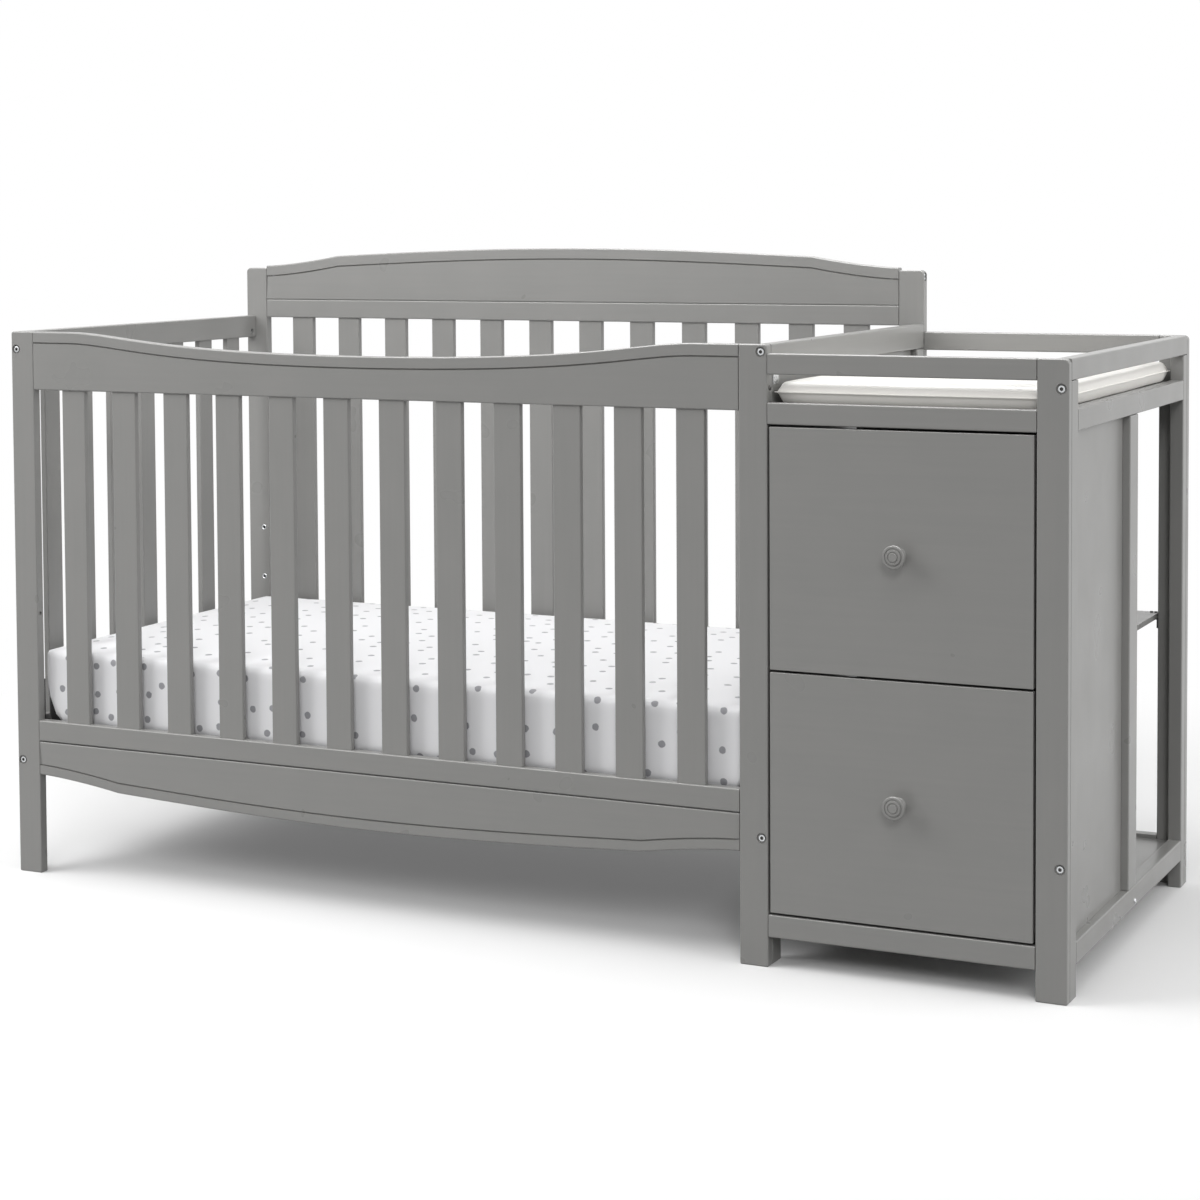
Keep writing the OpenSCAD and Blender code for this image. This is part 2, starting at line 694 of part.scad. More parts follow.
// The pad's sides draw in between a bulging middle and a seam at the top and the bottom
module changing_pad() color("#f2f2ee") place()
    translate([crib_l + pad_gap + pad_l / 2, face_t + pad_gap + pad_w / 2, tray_top + soft_gap]) {
        r = 14;
        seam = 5;
        ring_solid(concat(
            [for (s = [0.8, 0.55, 0.3, 0.1]) let (inset = seam + s * pad_l / 2.2)
                ring3(pad_l - 2 * inset, pad_w - 2 * inset, r,
                    pad_h + pad_crown * sin(90 * min(1, 1.3 * s)), corner_steps)],
            [ring3(pad_l - 2 * seam, pad_w - 2 * seam, r, pad_h, corner_steps),
             ring3(pad_l - seam / 2, pad_w - seam / 2, r, pad_h * 0.8, corner_steps),
             ring3(pad_l, pad_w, r, pad_h * 0.5, corner_steps),
             ring3(pad_l - seam / 2, pad_w - seam / 2, r, pad_h * 0.2, corner_steps),
             ring3(pad_l - 2 * seam, pad_w - 2 * seam, r, 0, corner_steps)]),
            ring_n, [0, 0, pad_h + pad_crown], [0, 0, 0]);
    }

// ---------------------------------------------------------------- changer frame

module changer_front_stile() color(WOOD) place() difference() {
    post(stile_x, 0, stile_w, face_t, changer_h, corner_r, 1);
    bolt_holes();
}

module changer_front_guard() color(WOOD) place()
    box(crib_l, 0, guard_z, open_w, face_t, guard_h);

module changer_front_tray_rail() color(WOOD) place()
    box(crib_l, 0, tray_rail_z, open_w, face_t, tray_rail_h);

module changer_front_base_rail() color(WOOD) place()
    box(crib_l, 0, foot_h, open_w, face_t, base_rail_h);

module side_panel_solid(grow) thin_panel(panel_x, side_front_end, side_mid_y, base_top,
    tray_rail_z, grow);

module side_stiles() color(WOOD) place() difference() {
    union() {
        box(side_x, side_front_y, 0, side_t, side_front_w, guard_z);
        box(side_x, side_mid_y, base_top, side_t, side_mid_w, tray_rail_z - base_top);
        box(side_x, side_rear_y, 0, side_t, side_rear_w, guard_z);
    }
    side_panel_solid(wood_gap);
    bolt_holes();
    nut_holes();
}

module side_guard() color(WOOD) place()
    box(side_x, face_t, guard_z, side_t, back_y - face_t, guard_h);

module side_tray_rail() color(WOOD) place() difference() {
    box(side_x, side_front_end, tray_rail_z, side_t, side_rear_y - side_front_end, tray_rail_h);
    side_panel_solid(wood_gap);
}

module side_base_rail() color(WOOD) place() difference() {
    box(side_x, side_front_end, foot_h, side_t, side_rear_y - side_front_end, base_rail_h);
    side_panel_solid(wood_gap);
}

module side_panel() color(WOOD) place() side_panel_solid(0);

module changer_rear_stile() color(WOOD) place() difference() {
    post(stile_x, back_y, stile_w, leg_t, changer_h, corner_r, 1);
    bolt_holes();
}

module changer_rear_rails() color(WOOD) place() {
    box(crib_l, back_y, guard_z, open_w, leg_t, guard_h);
    box(crib_l, back_y, tray_rail_z, open_w, leg_t, tray_rail_h);
    box(crib_l, back_y, foot_h, open_w, leg_t, base_rail_h);
}

module cabinet_back() color(WOOD) place()
    box(crib_l, cabinet_back_y, floor_top, side_x - crib_l, board_t,
        tray_top - board_t - floor_top);

module changer_floor() color(WOOD) place()
    box(crib_l, face_t, floor_top - board_t, side_x - crib_l, back_y - face_t, board_t);

module changer_tray() color(WOOD) place()
    box(crib_l, face_t, tray_top - board_t, side_x - crib_l, back_y - face_t, board_t);

module rear_shelf() color(WOOD) place()
    box(crib_l, cabinet_back_y + board_t, shelf_z - shelf_t, open_w,
        depth - cabinet_back_y - board_t, shelf_t);

// Steel angles hold the shelf's rear corners to the post and the stile beside them;
// each has two screws, whose heads lie on top of the shelf.
angle = 16;

module shelf_bracket() translate([crib_l, depth - leg_t / 2, shelf_z - shelf_t]) {
    box(0, -angle / 2, -angle, 2, angle, angle);
    box(0, -angle / 2, -2, angle, angle, 2);
    for (x = [5, 12]) translate([x, 0, shelf_t]) cylinder(h = 1.6, d = 5.5);
}

module shelf_brackets() color(DARK_STEEL) place() both_sides() shelf_bracket();

// ---------------------------------------------------------------- runners

// Positions of the two drawers, by the lower edge of their boxes
box_zs = [lower_z + box_lift, upper_z + box_lift];

module runner_cleats() color(WOOD) place() for (z = box_zs) {
    box(end_panel_x + panel_t, end_stile_end, z - 15, crib_l - end_panel_x - panel_t,
        cabinet_back_y - end_stile_end, 54);
    box(stile_x, face_t, z - 15, side_x - stile_x, cabinet_back_y - face_t, 54);
}

// A child drawn for the left side, and again mirrored for the right side
module both_sides() {
    children();
    translate([2 * knob_x, 0, 0]) mirror([1, 0, 0]) children();
}

roller_x = crib_l + runner_w - 2.5 - roller_w;
channel_w = runner_w - 2.6;

// Channel with a pin for its roller at the front, a lip behind it that stops the drawer's
// roller, and a second lip at the channel's end
module cabinet_runners() color(STEEL) place() for (z = box_zs) both_sides() {
    x = crib_l;
    box(x, runner_y, z + channel_low, sheet_t, runner_l, channel_high - channel_low + sheet_t);
    box(x, runner_y, z + channel_low, channel_w, runner_l, sheet_t);
    box(x, runner_y, z + channel_high, channel_w, runner_l, sheet_t);
    box(x, stop_y, z + channel_low, channel_w, 2, sheet_t + 4);
    box(x, runner_y + runner_l - 2, z + channel_low, channel_w, 2, sheet_t + 6);
    translate([x, cabinet_roller_y, z + roller_z]) rotate([0, 90, 0]) {
        cylinder(h = roller_x + roller_w - x + 0.9, d = pin_d);
        translate([0, 0, roller_x + roller_w - x + 0.3]) cylinder(h = 0.8, d = pin_d + 3);
    }
}

// Lip under the drawer's side, web on its face and flange over the cabinet's roller
module drawer_runners(z) color(STEEL) place() both_sides() {
    x = crib_l + runner_w;
    flange_end = drawer_roller_y - roller_d / 2 - 4;
    box(x - sheet_t, face_t + 2, z - sheet_t, 10, box_d - 2, sheet_t);
    box(x - sheet_t, face_t + 2, z - sheet_t, sheet_t, box_d - 2, flange_z + 2 * sheet_t);
    box(crib_l + sheet_t + 0.8, face_t + 2, z + flange_z, runner_w - sheet_t - 0.8,
        flange_end - face_t - 2, sheet_t);
    translate([x - sheet_t, drawer_roller_y, z + roller_z]) rotate([0, -90, 0]) {
        reach_in = x - sheet_t - roller_x;
        cylinder(h = reach_in + 0.9, d = pin_d);
        translate([0, 0, reach_in + 0.3]) cylinder(h = 0.7, d = pin_d + 3);
    }
}

module rollers(y, z) color("#e8e6df") place() both_sides()
    translate([roller_x, y, z + roller_z]) rotate([0, 90, 0]) difference() {
        cylinder(h = roller_w, d = roller_d);
        translate([0, 0, -1]) cylinder(h = roller_w + 2, d = pin_d + 2 * pin_gap);
    }

module upper_drawer_runners() drawer_runners(box_zs[1]);
module lower_drawer_runners() drawer_runners(box_zs[0]);
module upper_cabinet_rollers() rollers(cabinet_roller_y, box_zs[1]);
module lower_cabinet_rollers() rollers(cabinet_roller_y, box_zs[0]);
module upper_drawer_rollers() rollers(drawer_roller_y, box_zs[1]);
module lower_drawer_rollers() rollers(drawer_roller_y, box_zs[0]);

// ---------------------------------------------------------------- drawers

screw_d = 4;

module knob_hole(z) translate([knob_x, 0, z + front_h_each / 2]) rotate([-90, 0, 0])
    translate([0, 0, -1]) cylinder(h = face_t + 2, d = screw_d + 2 * pin_gap);

module drawer_front(z) color(WOOD) place() difference() {
    box(crib_l + front_gap, 0, z, front_w, face_t, front_h_each);
    knob_hole(z);
}

module drawer_bottom_solid(z, grow) box(crib_l + runner_w + box_t / 2 - grow, face_t,
    z + 8 - grow, box_w - box_t + 2 * grow, box_d - box_t / 2 + grow, bottom_t + 2 * grow);

module drawer_box(z) color("#d8c9a8") place() difference() {
    union() {
        box(crib_l + runner_w, face_t, z, box_t, box_d, box_h);
        box(stile_x - runner_w - box_t, face_t, z, box_t, box_d, box_h);
        box(crib_l + runner_w, face_t + box_d - box_t, z, box_w, box_t, box_h);
    }
    drawer_bottom_solid(z, wood_gap);
}

module drawer_bottom(z) color("#cdbb96") place() drawer_bottom_solid(z, 0);

// Turned knob: screw through the front, flared foot, neck and a stepped round head
module knob(z) color(WOOD) place() translate([knob_x, 0, z + front_h_each / 2])
    rotate([90, 0, 0]) {
        head = knob_d / 2;
        neck = knob_neck / 2;
        rotate_extrude() polygon([[0, 0], [neck + 2.5, 0], [neck + 1.5, 3], [neck, 6],
            [neck, knob_out - knob_head - 2], [head - 3, knob_out - knob_head],
            [head, knob_out - knob_head + 3], [head, knob_out - 4], [head - 1.2, knob_out - 2],
            [head - 4, knob_out - 1.2], [head - 4.5, knob_out - 2.2], [head - 5.5, knob_out - 2.2],
            [head - 6, knob_out - 0.8], [head - 9, knob_out], [0, knob_out]]);
        translate([0, 0, -face_t - 2.5]) cylinder(h = face_t + 3, d = screw_d);
        translate([0, 0, -face_t - 2.5]) cylinder(h = 2.5, d = screw_d * 2);
    }

module upper_drawer_front() drawer_front(upper_z);
module lower_drawer_front() drawer_front(lower_z);
module upper_drawer_box() drawer_box(box_zs[1]);
module lower_drawer_box() drawer_box(box_zs[0]);
module upper_drawer_bottom() drawer_bottom(box_zs[1]);
module lower_drawer_bottom() drawer_bottom(box_zs[0]);
module upper_knob() knob(upper_z);
module lower_knob() knob(lower_z);

// ---------------------------------------------------------------- nodes

front_left_leg();
centre_leg();
front_top_rail();
front_bottom_rail();
front_apron();
front_slats();
back_left_post();
back_right_post();
headboard_panel();
headboard_rail();
back_bottom_rail();
back_slats();
left_end_top_rail();
left_end_bottom_rail();
left_end_slats();
right_end_stiles();
right_end_rails();
right_end_panel();
support_frame();
support_wires();
support_brackets();
support_bolts();
mattress();
fitted_sheet();
changer_front_stile();
changer_front_guard();
changer_front_tray_rail();
changer_front_base_rail();
side_stiles();
side_guard();
side_tray_rail();
side_base_rail();
side_panel();
changer_rear_stile();
changer_rear_rails();
cabinet_back();
changer_floor();
changer_tray();
rear_shelf();
shelf_brackets();
runner_cleats();
cabinet_runners();
changing_pad();
upper_drawer_front();
upper_drawer_box();
upper_drawer_bottom();
upper_knob();
upper_drawer_runners();
lower_drawer_front();
lower_drawer_box();
lower_drawer_bottom();
lower_knob();
lower_drawer_runners();
upper_cabinet_rollers();
upper_drawer_rollers();
lower_cabinet_rollers();
lower_drawer_rollers();
frame_bolts();
barrel_nuts();
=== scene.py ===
import math

import bmesh
import bpy
from mathutils import Matrix, Vector


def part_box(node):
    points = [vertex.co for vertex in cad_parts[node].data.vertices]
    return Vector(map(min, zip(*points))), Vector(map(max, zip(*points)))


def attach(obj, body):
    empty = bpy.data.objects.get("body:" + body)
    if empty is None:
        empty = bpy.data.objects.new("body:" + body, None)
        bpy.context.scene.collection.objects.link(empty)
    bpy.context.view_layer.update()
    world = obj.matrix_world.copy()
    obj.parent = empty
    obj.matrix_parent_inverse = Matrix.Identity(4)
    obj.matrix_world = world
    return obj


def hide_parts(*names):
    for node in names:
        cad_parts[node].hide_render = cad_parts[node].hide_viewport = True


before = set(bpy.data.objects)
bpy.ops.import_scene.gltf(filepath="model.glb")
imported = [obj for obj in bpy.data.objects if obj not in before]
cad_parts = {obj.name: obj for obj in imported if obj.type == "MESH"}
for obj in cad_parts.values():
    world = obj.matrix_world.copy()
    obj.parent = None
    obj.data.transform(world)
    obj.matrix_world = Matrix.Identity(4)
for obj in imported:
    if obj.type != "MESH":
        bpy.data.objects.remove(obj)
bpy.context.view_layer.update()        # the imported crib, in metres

mm = 0.001
tiny = 0.01 * mm    # closer than this is the same place
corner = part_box("front_left_leg")[0]    # front left bottom corner of the furniture


def spot(x, y, z):
    # a place in millimetres from that corner
    return corner + Vector((x, y, z)) * mm


# The camera stands where the crib's straight lines meet it in the photograph
camera = {
    "place": (1.85989, -3.90224, 1.11312),    # metres
    "turn": 26.12, "down": 2.93, "roll": -0.37,    # degrees
    "lens": 78.1,    # mm, on a sensor 36 mm wide
    "shift": (0.0339, -0.21),
}
lens = bpy.data.cameras.new("camera")
lens.lens = camera["lens"]
lens.sensor_width = 36
lens.shift_x, lens.shift_y = camera["shift"]
cameraObject = bpy.data.objects.new("camera", lens)
bpy.context.scene.collection.objects.link(cameraObject)
cameraObject.matrix_world = (
    Matrix.Translation(camera["place"])
    @ Matrix.Rotation(math.radians(camera["turn"]), 4, "Z")
    @ Matrix.Rotation(math.radians(90 - camera["down"]), 4, "X")
    @ Matrix.Rotation(math.radians(camera["roll"]), 4, "Z"))
bpy.context.scene.camera = cameraObject
bpy.context.scene.view_settings.view_transform = "Standard"
print("camera set")


# Small helpers for modelling

def deselectAll():
    if bpy.context.object and bpy.context.object.mode != "OBJECT":
        bpy.ops.object.mode_set(mode="OBJECT")
    bpy.ops.object.select_all(action="DESELECT")


def activate(*pieces):
    deselectAll()
    for piece in pieces:
        piece.select_set(True)
    bpy.context.view_layer.objects.active = pieces[0]


def startEdit(piece, kind="EDGE"):
    activate(piece)
    bpy.ops.object.mode_set(mode="EDIT")
    bpy.ops.mesh.select_mode(type=kind)


def pick(piece, kind, test):
    # in edit mode, selects the vertices, edges or faces that pass the test
    bpy.ops.mesh.select_mode(type=kind)
    bpy.ops.mesh.select_all(action="DESELECT")
    shape = bmesh.from_edit_mesh(piece.data)
    parts = {"VERT": shape.verts, "EDGE": shape.edges, "FACE": shape.faces}[kind]
    for part in parts:
        if test(part):
            part.select_set(True)
    shape.select_flush_mode()
    bmesh.update_edit_mesh(piece.data)


def endEdit():
    bpy.ops.object.mode_set(mode="OBJECT")


def isSharp(edge):
    return len(edge.link_faces) == 2 and edge.calc_face_angle() > math.radians(40)


def apply(piece, kind, **settings):
    # adds one modifier and applies it
    activate(piece)
    modifier = piece.modifiers.new(kind.lower(), kind)
    for name, value in settings.items():
        setattr(modifier, name, value)
    bpy.ops.object.modifier_apply(modifier=modifier.name)
    return piece


def copyOf(source, name, move):
    piece = bpy.data.objects.new(name, source.data.copy())
    bpy.context.scene.collection.objects.link(piece)
    piece.data.name = name
    piece.data.transform(Matrix.Translation(move))
    return piece


def remove(*pieces):
    for piece in pieces:
        bpy.data.meshes.remove(piece.data)


def newest(name):
    # the primitive just added, with its place in its mesh
    piece = bpy.context.object
    piece.name = piece.data.name = name
    bpy.ops.object.transform_apply(location=True, rotation=True, scale=True)
    return piece


def block(name, lo, hi):
    deselectAll()
    bpy.ops.mesh.primitive_cube_add(size=1, location=(lo + hi) / 2, scale=hi - lo)
    return newest(name)


def pieceName(node):
    # front_top_rail becomes frontTopRail
    first, *others = node.split("_")
    return first + "".join(word.capitalize() for word in others)


def joined(name, pieces):
    activate(*pieces)
    if len(pieces) > 1:
        bpy.ops.object.join()
    pieces[0].name = name
    pieces[0].data.name = name
    return pieces[0]


def cut(piece, *cutters):
    for cutter in cutters:
        apply(piece, "BOOLEAN", operation="DIFFERENCE", solver="EXACT", object=cutter)
        remove(cutter)
    return piece


def overlaps(lo, hi, otherLo, otherHi):
    return all(lo[i] < otherHi[i] and otherLo[i] < hi[i] for i in range(3))


def solidBoxes(node):
    # lowest and highest corner of each separate solid of a CAD node
    shape = bmesh.new()
    shape.from_mesh(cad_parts[node].data)
    bmesh.ops.remove_doubles(shape, verts=shape.verts, dist=tiny)
    seen, boxes = set(), []
    for start in shape.verts:
        if start in seen:
            continue
        seen.add(start)
        island, waiting = [], [start]
        while waiting:
            vert = waiting.pop()
            island.append(vert.co.copy())
            for edge in vert.link_edges:
                other = edge.other_vert(vert)
                if other not in seen:
                    seen.add(other)
                    waiting.append(other)
        boxes.append((Vector([min(p[i] for p in island) for i in range(3)]),
                      Vector([max(p[i] for p in island) for i in range(3)])))
    shape.free()
    return sorted(boxes, key=lambda b: tuple(round(v, 4) for v in b[0]))


# Materials

def linear(code):
    # a written sRGB colour as the linear one that a shader takes
    parts = [int(code[i:i + 2], 16) / 255 for i in (1, 3, 5)]
    return [v / 12.92 if v <= 0.04045 else ((v + 0.055) / 1.055) ** 2.4 for v in parts] + [1]


def addNode(tree, kind, settings=None, links=None):
    node = tree.nodes.new(kind)
    for name, value in (settings or {}).items():
        if isinstance(name, int) or name in node.inputs:
            node.inputs[name].default_value = value
        else:
            setattr(node, name, value)
    for name, source in (links or {}).items():
        tree.links.new(source, node.inputs[name])
    return node


def newMaterial(name, **sockets):
    # a material with its shader's constant values, given by socket name
    material = bpy.data.materials.new(name)
    material.use_nodes = True
    shader = material.node_tree.nodes["Principled BSDF"]
    for socket, value in sockets.items():
        shader.inputs[socket.replace("_", " ")].default_value = value
    return material, material.node_tree, shader


def feed(tree, shader, **sources):
    # links the shader's sockets, given by name
    for socket, source in sources.items():
        tree.links.new(source, shader.inputs[socket.replace("_", " ")])


def spacing(x, y, z):
    # Mapping scale for a pattern whose features are x, y and z millimetres apart
    return [1 / (size * mm) for size in (x, y, z)]


def blendOf(tree, low, high, factor):
    # colour between two written colours
    node = addNode(tree, "ShaderNodeMix", {"data_type": "RGBA"}, {0: factor})
    node.inputs[6].default_value = linear(low)
    node.inputs[7].default_value = linear(high)
    return node.outputs[2]


# Satin lacquer sprayed over close-grained hardwood: even colour, a faint grain that
# telegraphs through, the film's fine orange peel and a soft broad sheen.
paint = {
    "low": "#878785", "high": "#8c8b89",
    "grain": 7, "grainLength": 160, "cloud": 90,    # mm
    "peel": 6,    # mm, coarser than real so that it shows
    "roughness": (0.23, 0.39),
}


def paintedWood(along):
    material, tree, shader = newMaterial("satin lacquered beech, grain along " + along,
                                         Specular_IOR_Level=0.5)
    sizes = [paint["grain"]] * 3
    sizes["XYZ".index(along)] = paint["grainLength"]
    place = addNode(tree, "ShaderNodeTexCoord")
    mapped = addNode(tree, "ShaderNodeMapping", {"Scale": spacing(*sizes)},
                     {"Vector": place.outputs["Object"]})
    grain = addNode(tree, "ShaderNodeTexNoise", {"Scale": 1, "Detail": 1.5, "Roughness": 0.45},
                    {"Vector": mapped.outputs[0]})
    cloud = addNode(tree, "ShaderNodeTexNoise", {"Scale": 1 / (paint["cloud"] * mm), "Detail": 2},
                    {"Vector": place.outputs["Object"]})
    peel = addNode(tree, "ShaderNodeTexNoise", {"Scale": 1 / (paint["peel"] * mm), "Detail": 1},
                   {"Vector": place.outputs["Object"]})
    mixed = addNode(tree, "ShaderNodeMath", {"operation": "ADD"},
                    {0: grain.outputs[0], 1: cloud.outputs[0]})
    even = addNode(tree, "ShaderNodeMapRange", {"From Min": 0.4, "From Max": 1.6},
                   {"Value": mixed.outputs[0]})
    gloss = addNode(tree, "ShaderNodeMapRange",
                    {"From Min": 0.1, "From Max": 0.9, "To Min": paint["roughness"][0],
                     "To Max": paint["roughness"][1]}, {"Value": cloud.outputs[0]})
    film = addNode(tree, "ShaderNodeBump", {"Strength": 0.3, "Distance": 0.02 * mm},
                   {"Height": peel.outputs[0]})
    wood = addNode(tree, "ShaderNodeBump", {"Strength": 0.35, "Distance": 0.03 * mm},
                   {"Height": grain.outputs[0], "Normal": film.outputs[0]})
    feed(tree, shader, Base_Color=blendOf(tree, paint["low"], paint["high"], even.outputs[0]),
         Roughness=gloss.outputs[0], Normal=wood.outputs[0])
    return material


def plainWood(name, low, high, along, grain, grainLength):
    # clear-sealed wood: visible grain, matt to satin
    material, tree, shader = newMaterial(name, Roughness=0.52)
    sizes = [grain] * 3
    sizes["XYZ".index(along)] = grainLength
    place = addNode(tree, "ShaderNodeTexCoord")
    mapped = addNode(tree, "ShaderNodeMapping", {"Scale": spacing(*sizes)},
                     {"Vector": place.outputs["Object"]})
    figure = addNode(tree, "ShaderNodeTexNoise",
                     {"Scale": 1, "Detail": 5, "Roughness": 0.6, "Distortion": 0.6},
                     {"Vector": mapped.outputs[0]})
    even = addNode(tree, "ShaderNodeMapRange", {"From Min": 0.3, "From Max": 0.7},
                   {"Value": figure.outputs[0]})
    relief = addNode(tree, "ShaderNodeBump", {"Strength": 0.4, "Distance": 0.1 * mm},
                     {"Height": figure.outputs[0]})
    feed(tree, shader, Base_Color=blendOf(tree, low, high, even.outputs[0]),
         Normal=relief.outputs[0])
    return material


def metal(name, low, high, roughness, blotch, metallic=1.0, bump=0.02):
    # colour and gloss vary over patches of the given size in millimetres
    material, tree, shader = newMaterial(name, Metallic=metallic)
    place = addNode(tree, "ShaderNodeTexCoord")
    patches = addNode(tree, "ShaderNodeTexNoise",
                      {"Scale": 1 / (blotch * mm), "Detail": 4, "Roughness": 0.6},
                      {"Vector": place.outputs["Object"]})
    gloss = addNode(tree, "ShaderNodeMapRange",
                    {"From Min": 0.3, "From Max": 0.7, "To Min": roughness - 0.06,
                     "To Max": roughness + 0.08}, {"Value": patches.outputs[0]})
    relief = addNode(tree, "ShaderNodeBump", {"Strength": 0.5, "Distance": bump * mm},
                     {"Height": patches.outputs[0]})
    feed(tree, shader, Base_Color=blendOf(tree, low, high, patches.outputs[0]),
         Roughness=gloss.outputs[0], Normal=relief.outputs[0])
    return material


def nylon():
    # injection moulded, natural off-white, slightly translucent, low gloss
    material, tree, shader = newMaterial("natural nylon", Subsurface_Weight=0.1,
                                         Subsurface_Scale=1.5 * mm)
    place = addNode(tree, "ShaderNodeTexCoord")
    haze = addNode(tree, "ShaderNodeTexNoise", {"Scale": 1 / (3 * mm), "Detail": 2},
                   {"Vector": place.outputs["Object"]})
    gloss = addNode(tree, "ShaderNodeMapRange", {"To Min": 0.34, "To Max": 0.48},
                    {"Value": haze.outputs[0]})
    feed(tree, shader, Base_Color=blendOf(tree, "#dcd9d0", "#e9e7df", haze.outputs[0]),
         Roughness=gloss.outputs[0])
    return material


def knitCover():
    # black polyester knit of the mattress: matt, a fine rib drawn at 3 mm so that it shows
    material, tree, shader = newMaterial("black polyester knit", Roughness=0.85,
                                         Sheen_Weight=0.08, Sheen_Roughness=0.5)
    place = addNode(tree, "ShaderNodeTexCoord")
    rib = addNode(tree, "ShaderNodeTexNoise", {"Scale": 1 / (3 * mm), "Detail": 3},
                  {"Vector": place.outputs["Object"]})
    relief = addNode(tree, "ShaderNodeBump", {"Strength": 0.6, "Distance": 0.5 * mm},
                     {"Height": rib.outputs[0]})
    feed(tree, shader, Base_Color=blendOf(tree, "#0d0c0e", "#171618", rib.outputs[0]),
         Normal=relief.outputs[0])
    return material


# White cotton percale printed with soft grey dots; the weave is drawn at 2.2 mm, where
# the real one has about 0.3 mm, so that it shows.
cotton = {"cloth": "#efeff1", "dot": "#a6a6aa", "dotDeep": "#95959a",
          "pitch": 52, "dotRadius": 5.7, "warp": 9, "warpBy": 3.2, "wash": 5, "weave": 2.2,    # mm
          "scatter": 0.55}


def dottedCotton():
    material, tree, shader = newMaterial("printed cotton percale", Roughness=0.82,
                                         Sheen_Weight=0.12, Sheen_Roughness=0.4)
    place = addNode(tree, "ShaderNodeUVMap", {"uv_map": "cloth"})
    warp = addNode(tree, "ShaderNodeTexNoise", {"Scale": 1 / (cotton["warp"] * mm), "Detail": 2},
                   {"Vector": place.outputs[0]})
    shifted = addNode(tree, "ShaderNodeVectorMath", {"operation": "SUBTRACT", 1: (0.5, 0.5, 0.5)},
                      {0: warp.outputs["Color"]})
    small = addNode(tree, "ShaderNodeVectorMath",
                    {"operation": "SCALE", "Scale": cotton["warpBy"] * mm}, {0: shifted.outputs[0]})
    moved = addNode(tree, "ShaderNodeVectorMath", {"operation": "ADD"},
                    {0: place.outputs[0], 1: small.outputs[0]})
    cells = addNode(tree, "ShaderNodeTexVoronoi",
                    {"voronoi_dimensions": "2D", "Scale": 1 / (cotton["pitch"] * mm),
                     "Randomness": cotton["scatter"]}, {"Vector": moved.outputs[0]})
    radius = cotton["dotRadius"] / cotton["pitch"]
    dots = addNode(tree, "ShaderNodeMapRange",
                   {"From Min": radius * 0.9, "From Max": radius * 1.1, "To Min": 1, "To Max": 0},
                   {"Value": cells.outputs["Distance"]})
    wash = addNode(tree, "ShaderNodeTexNoise", {"Scale": 1 / (cotton["wash"] * mm), "Detail": 3},
                   {"Vector": place.outputs[0]})
    ink = blendOf(tree, cotton["dotDeep"], cotton["dot"], wash.outputs[0])
    cloth = addNode(tree, "ShaderNodeMix", {"data_type": "RGBA"}, {0: dots.outputs[0], 7: ink})
    cloth.inputs[6].default_value = linear(cotton["cloth"])
    weave = addNode(tree, "ShaderNodeTexNoise",
                    {"Scale": 1 / (cotton["weave"] * mm), "Detail": 2},
                    {"Vector": place.outputs[0]})
    relief = addNode(tree, "ShaderNodeBump", {"Strength": 0.35, "Distance": 0.15 * mm},
                     {"Height": weave.outputs[0]})
    feed(tree, shader, Base_Color=cloth.outputs[2], Normal=relief.outputs[0])
    return material


def vinylCover(name, low, high, roughness):
    # soft PVC film on foam: smooth, a fine pebble embossed in it, a wide soft gloss
    material, tree, shader = newMaterial(name, Specular_IOR_Level=0.45)
    place = addNode(tree, "ShaderNodeTexCoord")
    tint = addNode(tree, "ShaderNodeTexNoise", {"Scale": 1 / (60 * mm), "Detail": 2},
                   {"Vector": place.outputs["Object"]})
    gloss = addNode(tree, "ShaderNodeMapRange", {"To Min": roughness - 0.05,
                                                 "To Max": roughness + 0.07},
                    {"Value": tint.outputs[0]})
    pebble = addNode(tree, "ShaderNodeTexVoronoi", {"Scale": 1 / (1.6 * mm)},
                     {"Vector": place.outputs["Object"]})
    relief = addNode(tree, "ShaderNodeBump", {"Strength": 0.3, "Distance": 0.06 * mm},
                     {"Height": pebble.outputs["Distance"]})
    feed(tree, shader, Base_Color=blendOf(tree, low, high, tint.outputs[0]),
         Roughness=gloss.outputs[0], Normal=relief.outputs[0])
    return material


paints = {axis: paintedWood(axis) for axis in "XYZ"}
boxWood = plainWood("clear-sealed birch plywood", "#cdb78e", "#dcc9a3", "Y", 5, 120)
bottomWood = plainWood("birch veneered hardboard", "#c4ad84", "#d4c096", "Y", 6, 180)
zincSteel = metal("bright zinc-plated steel", "#b9bbbd", "#cfd1d2", 0.26, 4)
# dark steel for the small bolt; the bolts' sockets take it too, as painted shade in the recess
darkSteelAndSocketShade = metal("dark steel, painted shade in sockets", "#4c4b4a", "#5c5b59", 0.42, 2, metallic=0.6)
bracketSteel = metal("dark powder-coated steel", "#2f2f31", "#3a3a3c", 0.5, 2.5, metallic=0.0,
                     bump=0.05)
runnerSteel = metal("cream powder-coated steel", "#dedbd2", "#e8e6de", 0.4, 2.5, metallic=0.0,
                    bump=0.05)
rollerNylon = nylon()
mattressKnit = knitCover()
sheetCotton = dottedCotton()
padVinyl = vinylCover("white soft PVC cover", "#f1efea", "#f4f2ee", 0.38)
print("materials made")


def finishPiece(piece, material, node, body="frame", smooth=35):
    # shading, material and what the piece stands for; None keeps the materials it has
    activate(piece)
    if material:
        piece.data.materials.clear()
        piece.data.materials.append(material)
    bpy.ops.object.shade_smooth_by_angle(angle=math.radians(smooth))
    apply(piece, "WEIGHTED_NORMAL", keep_sharp=True, weight=80)
    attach(piece, body)
    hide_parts(node)
    return piece


def keepNode(node, material):
    # a CAD node whose shape is right takes a better finish
    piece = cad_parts[node]
    for held in piece.material_slots:
        held.material = material
    if not piece.material_slots:
        piece.data.materials.append(material)


# Boards

